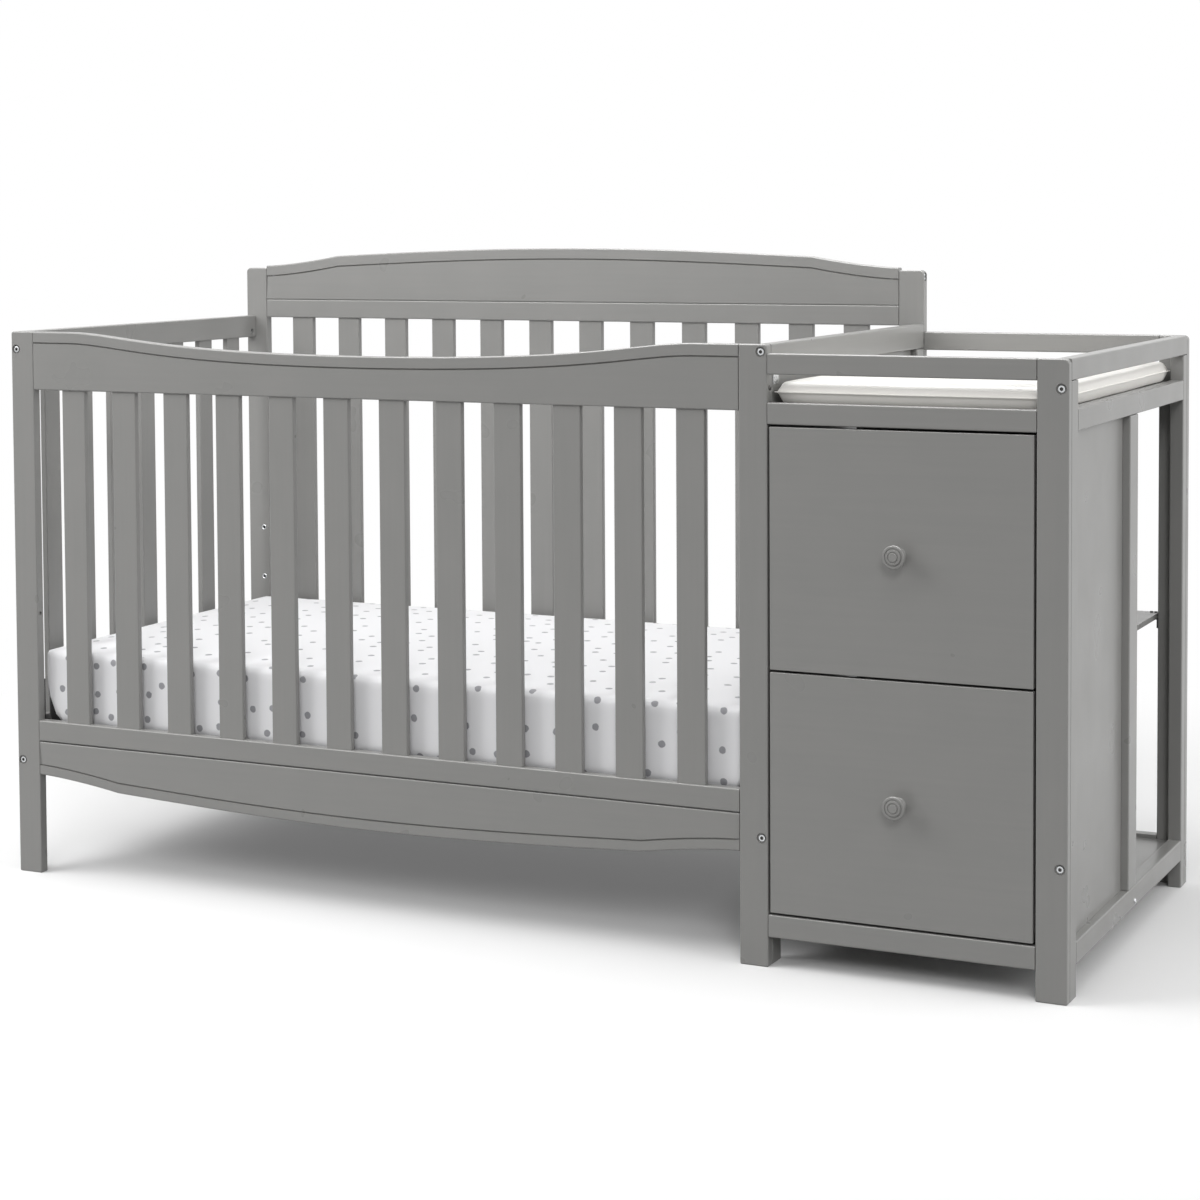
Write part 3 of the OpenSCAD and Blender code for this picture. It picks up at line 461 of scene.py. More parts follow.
def board(name, lo, hi, ease, endEase=None, topCorner=None):
    # a board with sanded edges: ease along its length, endEase round its ends, in mm;
    # topCorner is (side, radius) for a leg whose outer top corner is rounder
    piece = block(name, lo, hi)
    startEdit(piece)
    size = hi - lo
    along = max(range(3), key=lambda i: size[i])
    if topCorner:
        x = lo.x if topCorner[0] < 0 else hi.x
        pick(piece, "EDGE", lambda e: all(abs(v.co.x - x) < mm and v.co.z > hi.z - mm
                                          for v in e.verts))
        bpy.ops.mesh.bevel(offset=topCorner[1] * mm, segments=8, affect="EDGES")
    if endEase is None:
        pick(piece, "EDGE", isSharp)
    else:
        pick(piece, "EDGE", lambda e: abs((e.verts[0].co - e.verts[1].co)[along]) > size[along] / 2)
    bpy.ops.mesh.bevel(offset=ease * mm, segments=4, affect="EDGES")
    if endEase is not None:
        pick(piece, "EDGE", isSharp)
        bpy.ops.mesh.bevel(offset=endEase * mm, segments=2, affect="EDGES")
    endEdit()
    return piece


# Distance of the groove from each board's edge, its width and its depth, in mm; its rows
# are shares of half the width, and between rim and middle it has the share wall of its depth
groove = {"rail": 19, "apron": 17, "head": 20, "width": 2.8, "depth": 3.0,
          "rows": (-1, -0.6, 0, 0.6, 1), "wall": 0.75}


def curvedBoard(name, lo, hi, lower, upper, grooveLine, columns=128):
    # a board between two curved edges, given as heights over x, with a round-bottomed
    # groove in its front face
    lo, hi = lo + Vector((seam, 0, 0)) * mm, hi - Vector((seam, 0, 0)) * mm
    across = groove["width"] / 2 * mm
    rows = [lower] + [lambda x, o=o: grooveLine(x) + o * across for o in groove["rows"]] + [upper]
    deselectAll()
    bpy.ops.mesh.primitive_grid_add(
        x_subdivisions=columns, y_subdivisions=len(rows) - 1, size=1,
        rotation=(math.radians(90), 0, 0), location=((lo.x + hi.x) / 2, lo.y, 0))
    bpy.context.object.scale.x = hi.x - lo.x
    piece = newest(name)
    for vert in piece.data.vertices:
        vert.co.z = rows[round((vert.co.z + 0.5) * (len(rows) - 1))](vert.co.x)
    startEdit(piece, "FACE")
    bpy.ops.mesh.select_all(action="SELECT")
    bpy.ops.mesh.extrude_region_move(TRANSFORM_OT_translate={"value": (0, hi.y - lo.y, 0)})
    bpy.ops.mesh.select_all(action="SELECT")
    bpy.ops.mesh.normals_make_consistent(inside=False)

    def atEnd(edge):
        x = (edge.verts[0].co.x + edge.verts[1].co.x) / 2
        return x - lo.x < tiny or hi.x - x < tiny

    pick(piece, "EDGE", lambda e: isSharp(e) and not atEnd(e))
    bpy.ops.mesh.bevel(offset=sanded["rail"] * mm, segments=4, affect="EDGES")
    pick(piece, "EDGE", isSharp)
    bpy.ops.mesh.bevel(offset=sanded["joint"] * mm, segments=2, affect="EDGES")
    endEdit()
    for vert in piece.data.vertices:
        off = (vert.co.z - grooveLine(vert.co.x)) / across
        if vert.co.y < lo.y + 2 * mm and abs(off) < 0.99:
            vert.co.y += groove["depth"] * mm * (1 if abs(off) < 0.3 else groove["wall"])
    return piece


def boxCutter(lo, hi, grow=0.2):
    edge = Vector((grow, grow, grow)) * mm
    return block("cutter", lo - edge, hi + edge)


def boreCutter(start, direction, length, radius, sides=32):
    deselectAll()
    turn = Vector((0, 0, 1)).rotation_difference(direction)
    bpy.ops.mesh.primitive_cylinder_add(vertices=sides, radius=radius * mm, depth=length * mm,
                                        location=start + direction * length * mm / 2,
                                        rotation=turn.to_euler())
    return newest("cutter")


cribWide, cribDeep = 1370, 748    # mm over the crib's legs

# Frame bolts: x and z of those that enter from the front and the back, and the place and
# way of those in the headboard's ends (mm from the front left corner)
bolts = {
    "ends": [(10, 892), (10, 192), (1360, 911), (1360, 192), (1808, 867), (1808, 192)],
    "head": [((0, 739, 1003), (1, 0, 0)), ((cribWide, 739, 1003), (-1, 0, 0))],
    "headRadius": 5.5, "headThick": 3, "shank": 3, "socket": 2.9, "socketDeep": 3.6,
    "recess": 7.8, "gap": 0.3, "reach": 32, "headReach": 59, "past": 8,
    "nutRadius": 5, "nutLength": 12, "nutOpen": 22,
}


def boltPlaces():
    # start, direction, distance of the nut, and the way that the nut's bore opens
    places = []
    for y, way in ((0, 1), (cribDeep, -1)):
        for x, z in bolts["ends"]:
            outward = Vector((1 if x < 20 else -1, 0, 0))
            places.append((spot(x, y, z), Vector((0, way, 0)), bolts["reach"], outward))
    for place, way in bolts["head"]:
        places.append((spot(*place), Vector(way), bolts["headReach"], Vector((0, 1, 0))))
    return places


def cutForBolts(piece):
    # counterbores, bolt bores and nut bores wherever a bolt passes through this board
    points = [v.co for v in piece.data.vertices]
    lo = Vector([min(p[i] for p in points) for i in range(3)])
    hi = Vector([max(p[i] for p in points) for i in range(3)])
    gap = bolts["gap"]
    for start, way, reach, outward in boltPlaces():
        bores = [
            (start - way * mm, way, 1 + bolts["headThick"] + gap, bolts["recess"]),
            (start, way, reach + bolts["past"] + gap, bolts["shank"] + gap),
            (start + way * reach * mm - outward * (bolts["nutLength"] / 2 + gap) * mm, outward,
             bolts["nutLength"] + bolts["nutOpen"], bolts["nutRadius"] + gap)]
        for first, direction, length, radius in bores:
            last = first + direction * length * mm
            side = Vector([0 if abs(d) > 0.5 else radius * mm for d in direction])
            low = Vector([min(first[i], last[i]) for i in range(3)]) - side
            high = Vector([max(first[i], last[i]) for i in range(3)]) + side
            if overlaps(low, high, lo, hi):
                cut(piece, boreCutter(first, direction, length, radius))
    return piece


# Radius of each kind of board's sanded edges, in mm
sanded = {"leg": 2.2, "rail": 2.4, "joint": 0.9, "slat": 1.8, "slatEnd": 0.5, "panel": 0.6,
          "front": 1.2, "shelf": 1.2, "cleat": 1.0}
seam = 0.35    # mm that a board ends short of the leg it meets

# Holes for the mattress support on the inner faces of the four legs, and the guard rail's
# hole in the side of the front left leg
holes = {"radius": 3.5, "deep": 12, "levels": [318, 414, 510], "x": (32.5, cribWide - 32.5),
         "guard": (45, 9, 444), "guardRadius": 3}
legFaces = ((18, -1), (730, 1))    # y of the legs' inner faces and the way into the wood


def leg(node, side, radius, face):
    # face is one of the legs' inner faces, where it has holes
    lo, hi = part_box(node)
    piece = board(pieceName(node), lo, hi, sanded["leg"], topCorner=(side, radius))
    x = holes["x"][side > 0]
    for z in holes["levels"] if face else []:
        into = Vector((0, face[1], 0))
        cut(piece, boreCutter(spot(x, face[0], z) - into * mm, into, holes["deep"] + 1,
                              holes["radius"]))
    if node == "front_left_leg":
        cut(piece, boreCutter(spot(*holes["guard"]) + Vector((mm, 0, 0)), Vector((-1, 0, 0)),
                              holes["deep"] + 1, holes["guardRadius"]))
    cutForBolts(piece)
    return finishPiece(piece, paints["Z"], node)


leg("front_left_leg", -1, 4, legFaces[0])
leg("centre_leg", 1, 4, legFaces[0])
leg("back_left_post", -1, 8, legFaces[1])
leg("back_right_post", 1, 8, legFaces[1])
leg("changer_front_stile", 1, 8, None)
leg("changer_rear_stile", 1, 8, None)
print("legs made")


# Curved edges of the crib's front and back boards (mm); the dip's S starts at a share of
# half the rail and has two handles at shares of its run
curves = {"dip": 30, "flat": 0.11, "handles": (0.17, 0.29), "kinkAt": 160,
          "headBase": 1018.5, "headRise": 19, "headBow": 14.5,
          "apronBase": 169, "apronRise": -17.5, "apronBow": -15,
          "apronGap": 1.3}    # the dark line under the bottom rail
railLo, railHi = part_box("front_top_rail")
railHalf = (railHi.x - railLo.x) / 2
railMiddle = (railHi.x + railLo.x) / 2


def fromLeg(x):
    return max(railHalf - abs(x - railMiddle), 0)


def dippedEdge(x):
    # level beside the leg, then one long soft S down to the middle
    start = curves["flat"] * railHalf
    share = (fromLeg(x) - start) / (railHalf - start)
    if share <= 0:
        return railHi.z
    low, high = 0.0, 1.0
    first, second = curves["handles"]
    for step in range(30):
        t = (low + high) / 2
        across = 3 * first * (1 - t) ** 2 * t + 3 * second * (1 - t) * t * t + t ** 3
        low, high = (t, high) if across < share else (low, t)
    return railHi.z - curves["dip"] * mm * (3 * (1 - t) * t * t + t ** 3)


def kinkedEdge(start, rise, bow):
    # an S curve to a kink, then a long arc to the middle
    kink = curves["kinkAt"] * mm

    def height(x):
        far = fromLeg(x)
        if far < kink:
            return start + rise * mm * (far / kink) ** 1.5
        share = min((far - kink) / (railHalf - kink), 1)
        return start + (rise + bow * math.sin(math.pi / 2 * share)) * mm
    return height


def slatBoxes(node):
    # one eased slat, copied to each place of the node's solids
    boxes = solidBoxes(node)
    name = pieceName(node)
    first = board(name, *boxes[0], sanded["slat"], sanded["slatEnd"])
    copies = [copyOf(first, name + "Copy", lo - boxes[0][0]) for lo, hi in boxes[1:]]
    finishPiece(joined(name, [first] + copies), paints["Z"], node)
    return boxes


def mortises(boxes, lo, hi):
    # one cutter for all the slats' ends that enter this board
    inside = [b for b in boxes if overlaps(b[0], b[1], lo, hi)]
    return [joined("mortises", [boxCutter(*b) for b in inside])]


frontSlats = slatBoxes("front_slats")
backSlats = slatBoxes("back_slats")
endSlats = slatBoxes("left_end_slats")

topRail = curvedBoard("frontTopRail", railLo, railHi, lambda x: railLo.z, dippedEdge,
                      lambda x: dippedEdge(x) - groove["rail"] * mm)
cut(topRail, *mortises(frontSlats, railLo, railHi))
finishPiece(topRail, paints["X"], "front_top_rail")

apronLo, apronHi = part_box("front_apron")
apronEdge = kinkedEdge(spot(0, 0, curves["apronBase"]).z, curves["apronRise"],
                       curves["apronBow"])
apron = curvedBoard("frontApron", apronLo, apronHi, apronEdge,
                    lambda x: apronHi.z - curves["apronGap"] * mm,
                    lambda x: apronEdge(x) + groove["apron"] * mm)
finishPiece(apron, paints["X"], "front_apron")

headLo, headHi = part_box("headboard_panel")
headEdge = kinkedEdge(spot(0, 0, curves["headBase"]).z, curves["headRise"], curves["headBow"])
headboard = curvedBoard("headboardPanel", headLo, headHi, lambda x: headLo.z, headEdge,
                        lambda x: headEdge(x) - groove["head"] * mm)
cutForBolts(headboard)
finishPiece(headboard, paints["X"], "headboard_panel")
print("curved boards made")


def rail(node, axis, kind, boxes=(), cutters=()):
    # one board for each solid of the node, with the slats' mortises and the bolts' bores
    name, pieces = pieceName(node), []
    way = Vector([1 if letter == axis else 0 for letter in "XYZ"]) * seam * mm
    for lo, hi in solidBoxes(node):
        piece = board(name, lo + way, hi - way, sanded[kind], sanded["joint"])
        for cutterBox in cutters:
            if overlaps(*cutterBox, lo, hi):
                cut(piece, boxCutter(*cutterBox))
        if any(overlaps(*b, lo, hi) for b in boxes):
            cut(piece, *mortises(boxes, lo, hi))
        pieces.append(cutForBolts(piece))
    finishPiece(joined(name, pieces), paints[axis], node)


endPanel = [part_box("right_end_panel")]
sidePanel = [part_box("side_panel")]
rail("front_bottom_rail", "X", "rail", frontSlats)
rail("headboard_rail", "X", "rail", backSlats)
rail("back_bottom_rail", "X", "rail", backSlats)
rail("left_end_top_rail", "Y", "rail", endSlats)
rail("left_end_bottom_rail", "Y", "rail", endSlats)
rail("right_end_stiles", "Z", "rail", cutters=endPanel)
rail("right_end_rails", "Y", "rail", cutters=endPanel)
rail("right_end_panel", "Z", "panel")
rail("changer_front_guard", "X", "rail")
rail("changer_front_tray_rail", "X", "rail")
rail("changer_front_base_rail", "X", "rail")
rail("side_stiles", "Z", "leg", cutters=sidePanel)
rail("side_guard", "Y", "rail")
rail("side_tray_rail", "Y", "rail", cutters=sidePanel)
rail("side_base_rail", "Y", "rail", cutters=sidePanel)
rail("side_panel", "Z", "panel")
rail("changer_rear_rails", "X", "rail")
rail("cabinet_back", "X", "panel")
rail("changer_floor", "X", "panel")
rail("changer_tray", "X", "panel")
rail("rear_shelf", "X", "shelf")
rail("runner_cleats", "Y", "cleat")
print("rails and panels made")


# Turned pieces and hardware

def turned(name, profile, centre, axis, steps=64, soften=0, closed=False):
    # a profile of [radius, distance along the axis] pairs in mm, spun round the axis
    out = Vector((0, 0, 1)) if abs(axis.z) < 0.5 else Vector((1, 0, 0))
    places = [centre + (out * r + axis * d) * mm for r, d in profile]
    deselectAll()
    bpy.ops.mesh.primitive_plane_add(size=mm, location=places[0])
    piece = newest(name)
    startEdit(piece, "VERT")
    bpy.ops.mesh.select_all(action="SELECT")
    bpy.ops.mesh.merge(type="CENTER")
    for before, after in zip(places, places[1:] + places[:1] if closed else places[1:]):
        bpy.ops.mesh.extrude_region_move(TRANSFORM_OT_translate={"value": after - before})
    if closed:
        bpy.ops.mesh.select_all(action="SELECT")
        bpy.ops.mesh.remove_doubles(threshold=0.001 * mm)
    if soften:
        ends = [] if closed else [places[0], places[-1]]
        pick(piece, "VERT", lambda v: all((v.co - end).length > tiny for end in ends))
        bpy.ops.mesh.bevel(offset=soften * mm, segments=3, affect="VERTICES")
    bpy.ops.mesh.select_all(action="SELECT")
    bpy.ops.mesh.spin(steps=steps, angle=2 * math.pi, center=centre, axis=axis)
    bpy.ops.mesh.select_all(action="SELECT")
    bpy.ops.mesh.remove_doubles(threshold=0.005 * mm)
    bpy.ops.mesh.normals_make_consistent(inside=False)
    endEdit()
    return piece


def boltAt(name, start, way, length):
    # socket-head bolt: chamfered head with a hexagon socket, plain shank with a pointed end
    r, t, s = bolts["headRadius"], bolts["headThick"], bolts["shank"]
    piece = turned(name, [[0, 0.9], [r - 1.6, 0.9], [r - 0.6, 1.2], [r - 0.1, 1.9], [r, t - 0.3],
                          [r - 0.3, t], [s, t], [s, length - 1], [s - 1, length], [0, length]],
                   Vector((0, 0, 0)), Vector((0, 0, 1)), 40)
    depth = bolts["socketDeep"]
    cut(piece, boreCutter(Vector((0, 0, -mm)), Vector((0, 0, 1)), depth + 1, bolts["socket"], 6))
    piece.data.materials.append(zincSteel)
    piece.data.materials.append(darkSteelAndSocketShade)
    for face in piece.data.polygons:    # the socket's inner faces take the darker steel, painted shade in the recess
        place = face.center / mm
        if math.hypot(place.x, place.y) < bolts["socket"] - 0.1 and 1 < place.z < depth + 0.1:
            face.material_index = 1
    turn = Vector((0, 0, 1)).rotation_difference(way).to_matrix().to_4x4()
    piece.data.transform(Matrix.Translation(start) @ turn)
    return piece


def nutAt(name, place, axis):
    # barrel nut with a screwdriver slot in its end
    r, half = bolts["nutRadius"], bolts["nutLength"] / 2
    piece = turned(name, [[0, -half], [r - 0.5, -half], [r, -half + 0.5], [r, half - 0.5],
                          [r - 0.5, half], [0, half]], Vector((0, 0, 0)), Vector((0, 0, 1)), 40)
    slot = boxCutter(Vector((-r, -0.8, half - 1.5)) * mm, Vector((r, 0.8, half + 1)) * mm)
    cut(piece, slot)
    turn = Vector((0, 0, 1)).rotation_difference(axis).to_matrix().to_4x4()
    piece.data.transform(Matrix.Translation(place) @ turn)
    return piece


frameBolts, barrelNuts = [], []
for start, way, reach, outward in boltPlaces():
    frameBolts.append(boltAt("bolt", start, way, reach + bolts["past"]))
    nut = nutAt("nut", start + way * reach * mm, outward)
    cut(nut, boreCutter(start, way, reach + 10, bolts["shank"] + 0.05))
    barrelNuts.append(nut)
finishPiece(joined("frameBolts", frameBolts), None, "frame_bolts")
finishPiece(joined("barrelNuts", barrelNuts), zincSteel, "barrel_nuts")

support = {"tube": 20, "ease": 2.5, "boltOut": 6, "boltLength": 17}    # mm
supportBolts = []
for x in holes["x"]:
    for y, into in legFaces:
        start = spot(x, y - into * support["boltOut"], holes["levels"][0])
        supportBolts.append(boltAt("bolt", start, Vector((0, into, 0)), support["boltLength"]))
finishPiece(joined("supportBolts", supportBolts), None, "support_bolts")
for node in ("support_brackets", "shelf_brackets", "support_wires"):
    keepNode(node, bracketSteel)
keepNode("cabinet_runners", runnerSteel)


def supportFrame():
    # welded square tube: long tubes whole, short tubes between them, eased corners
    lo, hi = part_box("support_frame")
    tube, ease = support["tube"] * mm, support["ease"]
    pieces = [board("tube", Vector((lo.x, y, lo.z)), Vector((hi.x, y + tube, hi.z)), ease, 1)
              for y in (lo.y, hi.y - tube)]
    pieces += [board("tube", Vector((x, lo.y + tube, lo.z)), Vector((x + tube, hi.y - tube, hi.z)),
                     ease, 0.5) for x in (lo.x, hi.x - tube)]
    finishPiece(joined("supportFrame", pieces), bracketSteel, "support_frame")


supportFrame()


def steelTrim(piece):
    # small steel that stands for no CAD node
    activate(piece)
    bpy.ops.object.shade_smooth_by_angle(angle=math.radians(35))
    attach(piece, "frame")


# Threaded inserts in the spare holes, a thin flange and a sleeve (mm)
insert = {"flange": 5.2, "thick": 0.5, "outer": 3.4, "inner": 2.7, "deep": 10}


def spareInserts():
    pieces = []
    f, t, o, i, d = (insert[k] for k in ("flange", "thick", "outer", "inner", "deep"))
    for x in holes["x"]:
        for y, into in legFaces:
            for z in holes["levels"][1:]:
                pieces.append(turned("insert", [[i + 0.6, t], [f - 0.4, t], [f, 0.1], [o, 0],
                                                [o, -d], [i, -d], [i, t - 0.5]],
                                     spot(x, y, z), Vector((0, -into, 0)), 24, closed=True))
    piece = joined("threadedInserts", pieces)
    piece.data.materials.append(zincSteel)
    steelTrim(piece)


spareInserts()


# A steel plate inside the tray's front corner with a dark bolt under it, and a screw in the
# side base rail
small = {"plate": ((1370, 24, 862), (1371.5, 44, 884)), "bolt": (1370, 11, 858),
         "screw": (392, 55), "radius": 4}    # mm


def smallHardware():
    r = small["radius"]
    dome = [[0, -2], [r - 0.6, -2], [r, 0.2], [r, 0.8], [r - 1, 1.8], [1.6, 2.2], [1.4, 0.8],
            [0, 0.8]]
    plate = board("plate", spot(*small["plate"][0]), spot(*small["plate"][1]), 0.5)
    bolt = turned("bolt", dome, spot(*small["bolt"]), Vector((1, 0, 0)), 24)
    screwAt = spot(0, *small["screw"])
    screwAt.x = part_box("side_base_rail")[1].x
    screw = turned("screw", dome, screwAt, Vector((1, 0, 0)), 24)
    for piece, material in ((plate, zincSteel), (bolt, darkSteelAndSocketShade), (screw, zincSteel)):
        piece.data.materials.append(material)
    steelTrim(joined("smallHardware", [plate, bolt, screw]))


smallHardware()
print("hardware made")


# Drawers

knobShape = {"radius": 17.2, "out": 27, "neck": 8, "foot": 11.5, "rim": 6.5}    # mm
drawerShape = {"wall": 12, "ease": 1.2, "joint": 0.5, "backJoint": 0.3, "bottomEase": 0.4,
               "screwRadius": 2.05, "screwDeep": 20}    # mm


def knob(name, node, body):
    # turned hardwood knob: flared foot, neck, and a flat head with two stepped rings
    lo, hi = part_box(node)
    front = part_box(node.replace("knob", "drawer_front"))
    centre = Vector(((lo.x + hi.x) / 2, front[0].y, (lo.z + hi.z) / 2))
    r, out, neck, foot, rim = (knobShape[k] for k in ("radius", "out", "neck", "foot", "rim"))
    piece = turned(name, [
        [0, 0], [foot, 0], [foot - 1.4, 2.2], [neck + 0.4, 5], [neck, 8], [neck + 0.6, 12],
        [neck + 3, out - rim - 3.5], [r - 1.6, out - rim - 1.5], [r, out - rim + 0.5],
        [r, out - 3.4], [r - 1.2, out - 2.2], [r - 3.9, out - 2.0], [r - 4.5, out - 3.2],
        [r - 5.5, out - 3.2], [r - 6.1, out - 0.9], [r - 8.9, out - 0.6], [r - 9.5, out - 1.7],
        [r - 10.4, out - 1.7], [r - 11.0, out], [0, out]],
        centre, Vector((0, -1, 0)), 72, soften=0.3)
    finishPiece(piece, paints["Y"], node, body)


def drawerBox(name, node, bottomNode, body):
    # two sides and a back, grooved for the bottom
    lo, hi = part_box(node)
    t, ease = drawerShape["wall"] * mm, drawerShape["ease"]
    joint, backJoint = drawerShape["joint"], drawerShape["backJoint"]
    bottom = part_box(bottomNode)
    pieces = [
        board(name, lo, Vector((lo.x + t, hi.y, hi.z)), ease, joint),
        board("side", Vector((hi.x - t, lo.y, lo.z)), hi, ease, joint),
        board("back", Vector((lo.x + t, hi.y - t, lo.z)), Vector((hi.x - t, hi.y, hi.z)), ease,
              backJoint)]
    for piece in pieces:
        cut(piece, boxCutter(*bottom))
    finishPiece(joined(name, pieces), boxWood, node, body)
    floor = board(name + "Bottom", *bottom, drawerShape["bottomEase"], backJoint)
    finishPiece(floor, bottomWood, bottomNode, body)


rollerShape = {"radius": 10, "wide": 6.8, "pin": 2.05}    # mm


def rollerPair(name, node):
    # nylon rollers with eased rims and a dished face
    r, w, pin = rollerShape["radius"], rollerShape["wide"], rollerShape["pin"]
    pieces = []
    for lo, hi in solidBoxes(node):
        centre = (lo + hi) / 2
        pieces.append(turned("roller", [
            [pin, -w / 2], [4.4, -w / 2], [4.8, -w / 2 + 0.6], [r - 2.4, -w / 2 + 0.6],
            [r - 2, -w / 2], [r, -w / 2], [r, w / 2], [r - 2, w / 2], [r - 2.4, w / 2 - 0.6],
            [4.8, w / 2 - 0.6], [4.4, w / 2], [pin, w / 2]], centre, Vector((1, 0, 0)), 40,
            soften=0.25, closed=True))
    finishPiece(joined(name, pieces), rollerNylon, node, node)


for side in ("upper", "lower"):
    body = side + "_drawer"
    lo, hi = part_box(side + "_drawer_front")
    face = board(side + "DrawerFront", lo, hi, sanded["front"])
    screwAt = Vector(((lo.x + hi.x) / 2, lo.y - mm, (lo.z + hi.z) / 2))
    cut(face, boreCutter(screwAt, Vector((0, 1, 0)), drawerShape["screwDeep"],
                         drawerShape["screwRadius"]))
    finishPiece(face, paints["X"], side + "_drawer_front", body)
    knob(side + "Knob", side + "_knob", body)
    drawerBox(side + "DrawerBox", side + "_drawer_box", side + "_drawer_bottom", body)
    keepNode(side + "_drawer_runners", runnerSteel)
    rollerPair(side + "CabinetRollers", side + "_cabinet_rollers")
    rollerPair(side + "DrawerRollers", side + "_drawer_rollers")
print("drawers made")


# Mattress and fitted sheet

mattressShape = {"corner": 18, "edge": 9, "crown": 8, "step": 9, "under": 1}    # mm
sheetShape = {
    "gap": 1.2, "thick": 0.9, "tuck": 38, "hemLift": 80, "hemRun": 37, "ease": 60,    # mm
    "fold": 0.5, "foldEvery": 34, "foldReach": 120, "cap": 2.2, "heldBelow": 8,    # mm
    "rows": 18, "slack": 0.008,
}


def gridBlock(name, lo, hi, cuts):
    # a block whose faces are a grid, cut by edge loops in three directions
    piece = block(name, lo, hi)
    startEdit(piece)
    for axis in range(3):
        pick(piece, "EDGE", lambda e: abs((e.verts[0].co - e.verts[1].co)[axis]) > tiny
             and all(abs((e.verts[0].co - e.verts[1].co)[k]) < tiny
                     for k in range(3) if k != axis))
        bpy.ops.mesh.subdivide(number_cuts=cuts[axis])
    endEdit()
    return piece


clothFeel = {"quality": 5, "mass": 0.3, "tension_stiffness": 20, "compression_stiffness": 20,
             "shear_stiffness": 8, "bending_stiffness": 0.3}
clothFrames = 20


def simulate(piece, cap, pressure=0.0, held="", shrunk="", shrink=(0.0, 0.0)):
    # cloth without gravity; returns how far each point went, none of them past the cap
    start = [vert.co.copy() for vert in piece.data.vertices]
    activate(piece)
    cloth = piece.modifiers.new("cloth", "CLOTH")
    for name, value in clothFeel.items():
        setattr(cloth.settings, name, value)
    cloth.settings.use_pressure = pressure > 0
    cloth.settings.uniform_pressure_force = pressure
    cloth.settings.effector_weights.gravity = 0
    cloth.settings.vertex_group_mass = held
    cloth.settings.vertex_group_shrink = shrunk
    cloth.settings.shrink_min, cloth.settings.shrink_max = shrink
    cloth.collision_settings.use_collision = False
    for step in range(1, clothFrames + 1):
        bpy.context.scene.frame_set(step)
    bpy.ops.object.modifier_apply(modifier=cloth.name)
    bpy.context.scene.frame_set(1)
    moves = [vert.co - before for vert, before in zip(piece.data.vertices, start)]
    for vert, before in zip(piece.data.vertices, start):
        vert.co = before
    return [move * (cap / move.length) if move.length > cap else move for move in moves]


def flatInset(m):
    # distance in from the outline and drop below the top, for a point of the flat top
    # that lies m inside the block's square edge: half of the edge's arc lies on the top
    edge, corner = mattressShape["edge"] * mm, mattressShape["corner"] * mm
    half = edge * math.pi / 4
    if m >= corner:
        return m, 0.0
    if m >= half:
        return edge + (m - half) * (corner - edge) / (corner - half), 0.0
    angle = math.pi / 4 - m / edge
    return edge * (1 - math.sin(angle)), edge * (1 - math.cos(angle))


def sideInset(s, height):
    # the same for a point s down the side, past the arc's middle; it may turn under
    edge = mattressShape["edge"] * mm
    half = edge * math.pi / 4
    if s < half:
        angle = math.pi / 4 + s / edge
        return edge * (1 - math.sin(angle)), edge * (1 - math.cos(angle))
    s -= half
    straight = height - 2 * edge
    if s < straight:
        return 0.0, edge + s
    s -= straight
    if s < edge * math.pi / 2:
        return edge * (1 - math.cos(s / edge)), height - edge + edge * math.sin(s / edge)
    return edge + s - edge * math.pi / 2, height


def roundedPoint(x, y, half, inset):
    # a point of the block's square outline, moved to the rounded one and inset from it
    radius = mattressShape["corner"] * mm
    cornerX, cornerY = half.x - radius, half.y - radius
    dx = max(abs(x) - cornerX, 0)
    dy = max(abs(y) - cornerY, 0)
    if dx == 0 and dy == 0:
        return x, y
    way = math.hypot(dx, dy)
    reach = radius - inset
    newX = min(abs(x), cornerX) + dx / way * reach
    newY = min(abs(y), cornerY) + dy / way * reach
    return math.copysign(newX, x), math.copysign(newY, y)


def clothDown(near, height):
    # how far the sheet reaches down a side and under the mattress: its elastic hem is
    # drawn up over each corner
    edge, run = mattressShape["edge"] * mm, sheetShape["hemRun"] * mm
    under = edge * math.pi * 0.75 + height - 2 * edge
    if near < run:
        return under - sheetShape["hemLift"] * mm * (1 - near / run)
    return under + sheetShape["tuck"] * mm * min(1, (near - run) / (sheetShape["ease"] * mm))


def crownAt(m, half):
    return mattressShape["crown"] * mm * math.sin(math.pi / 2 * min(1, m / (half.y * 0.71)))


def mattressSurface(piece, lo, hi, sheet=False):
    # bends a grid block to the mattress; a sheet's hem is drawn up near the corners
    middle = (lo + hi) / 2
    half = (hi - lo) / 2
    height = hi.z - lo.z
    edge = mattressShape["edge"] * mm
    whole = 2 * edge * math.pi / 4 + height - 2 * edge
    for vert in piece.data.vertices:
        x, y = vert.co.x - middle.x, vert.co.y - middle.y
        inX, inY = half.x - abs(x), half.y - abs(y)
        m = max(min(inX, inY), 0)
        if m > tiny:
            inset, drop = flatInset(m)
            if m < mattressShape["corner"] * mm:
                x, y = roundedPoint(x, y, half, inset)
            if vert.co.z > middle.z:
                vert.co = (middle.x + x, middle.y + y, hi.z - drop + crownAt(m, half))
            else:
                vert.co = (middle.x + x, middle.y + y, lo.z + drop)
            continue
        down = (hi.z - vert.co.z) / height
        length = whole
        near = max(inX, inY)    # distance from the block's vertical corner
        if sheet:
            length = clothDown(near, height)
        inset, drop = sideInset(down * length, height)
        if sheet and drop < height:
            # faint folds that fan out from the corners
            fade = math.exp(-near / (sheetShape["foldReach"] * mm)) * min(1, drop / height * 2)
            inset -= sheetShape["fold"] * mm * fade * (
                1 + math.sin(2 * math.pi * near / (sheetShape["foldEvery"] * mm) + 3 * down))
        x, y = roundedPoint(x, y, half, inset)
        vert.co = (middle.x + x, middle.y + y, hi.z - drop)


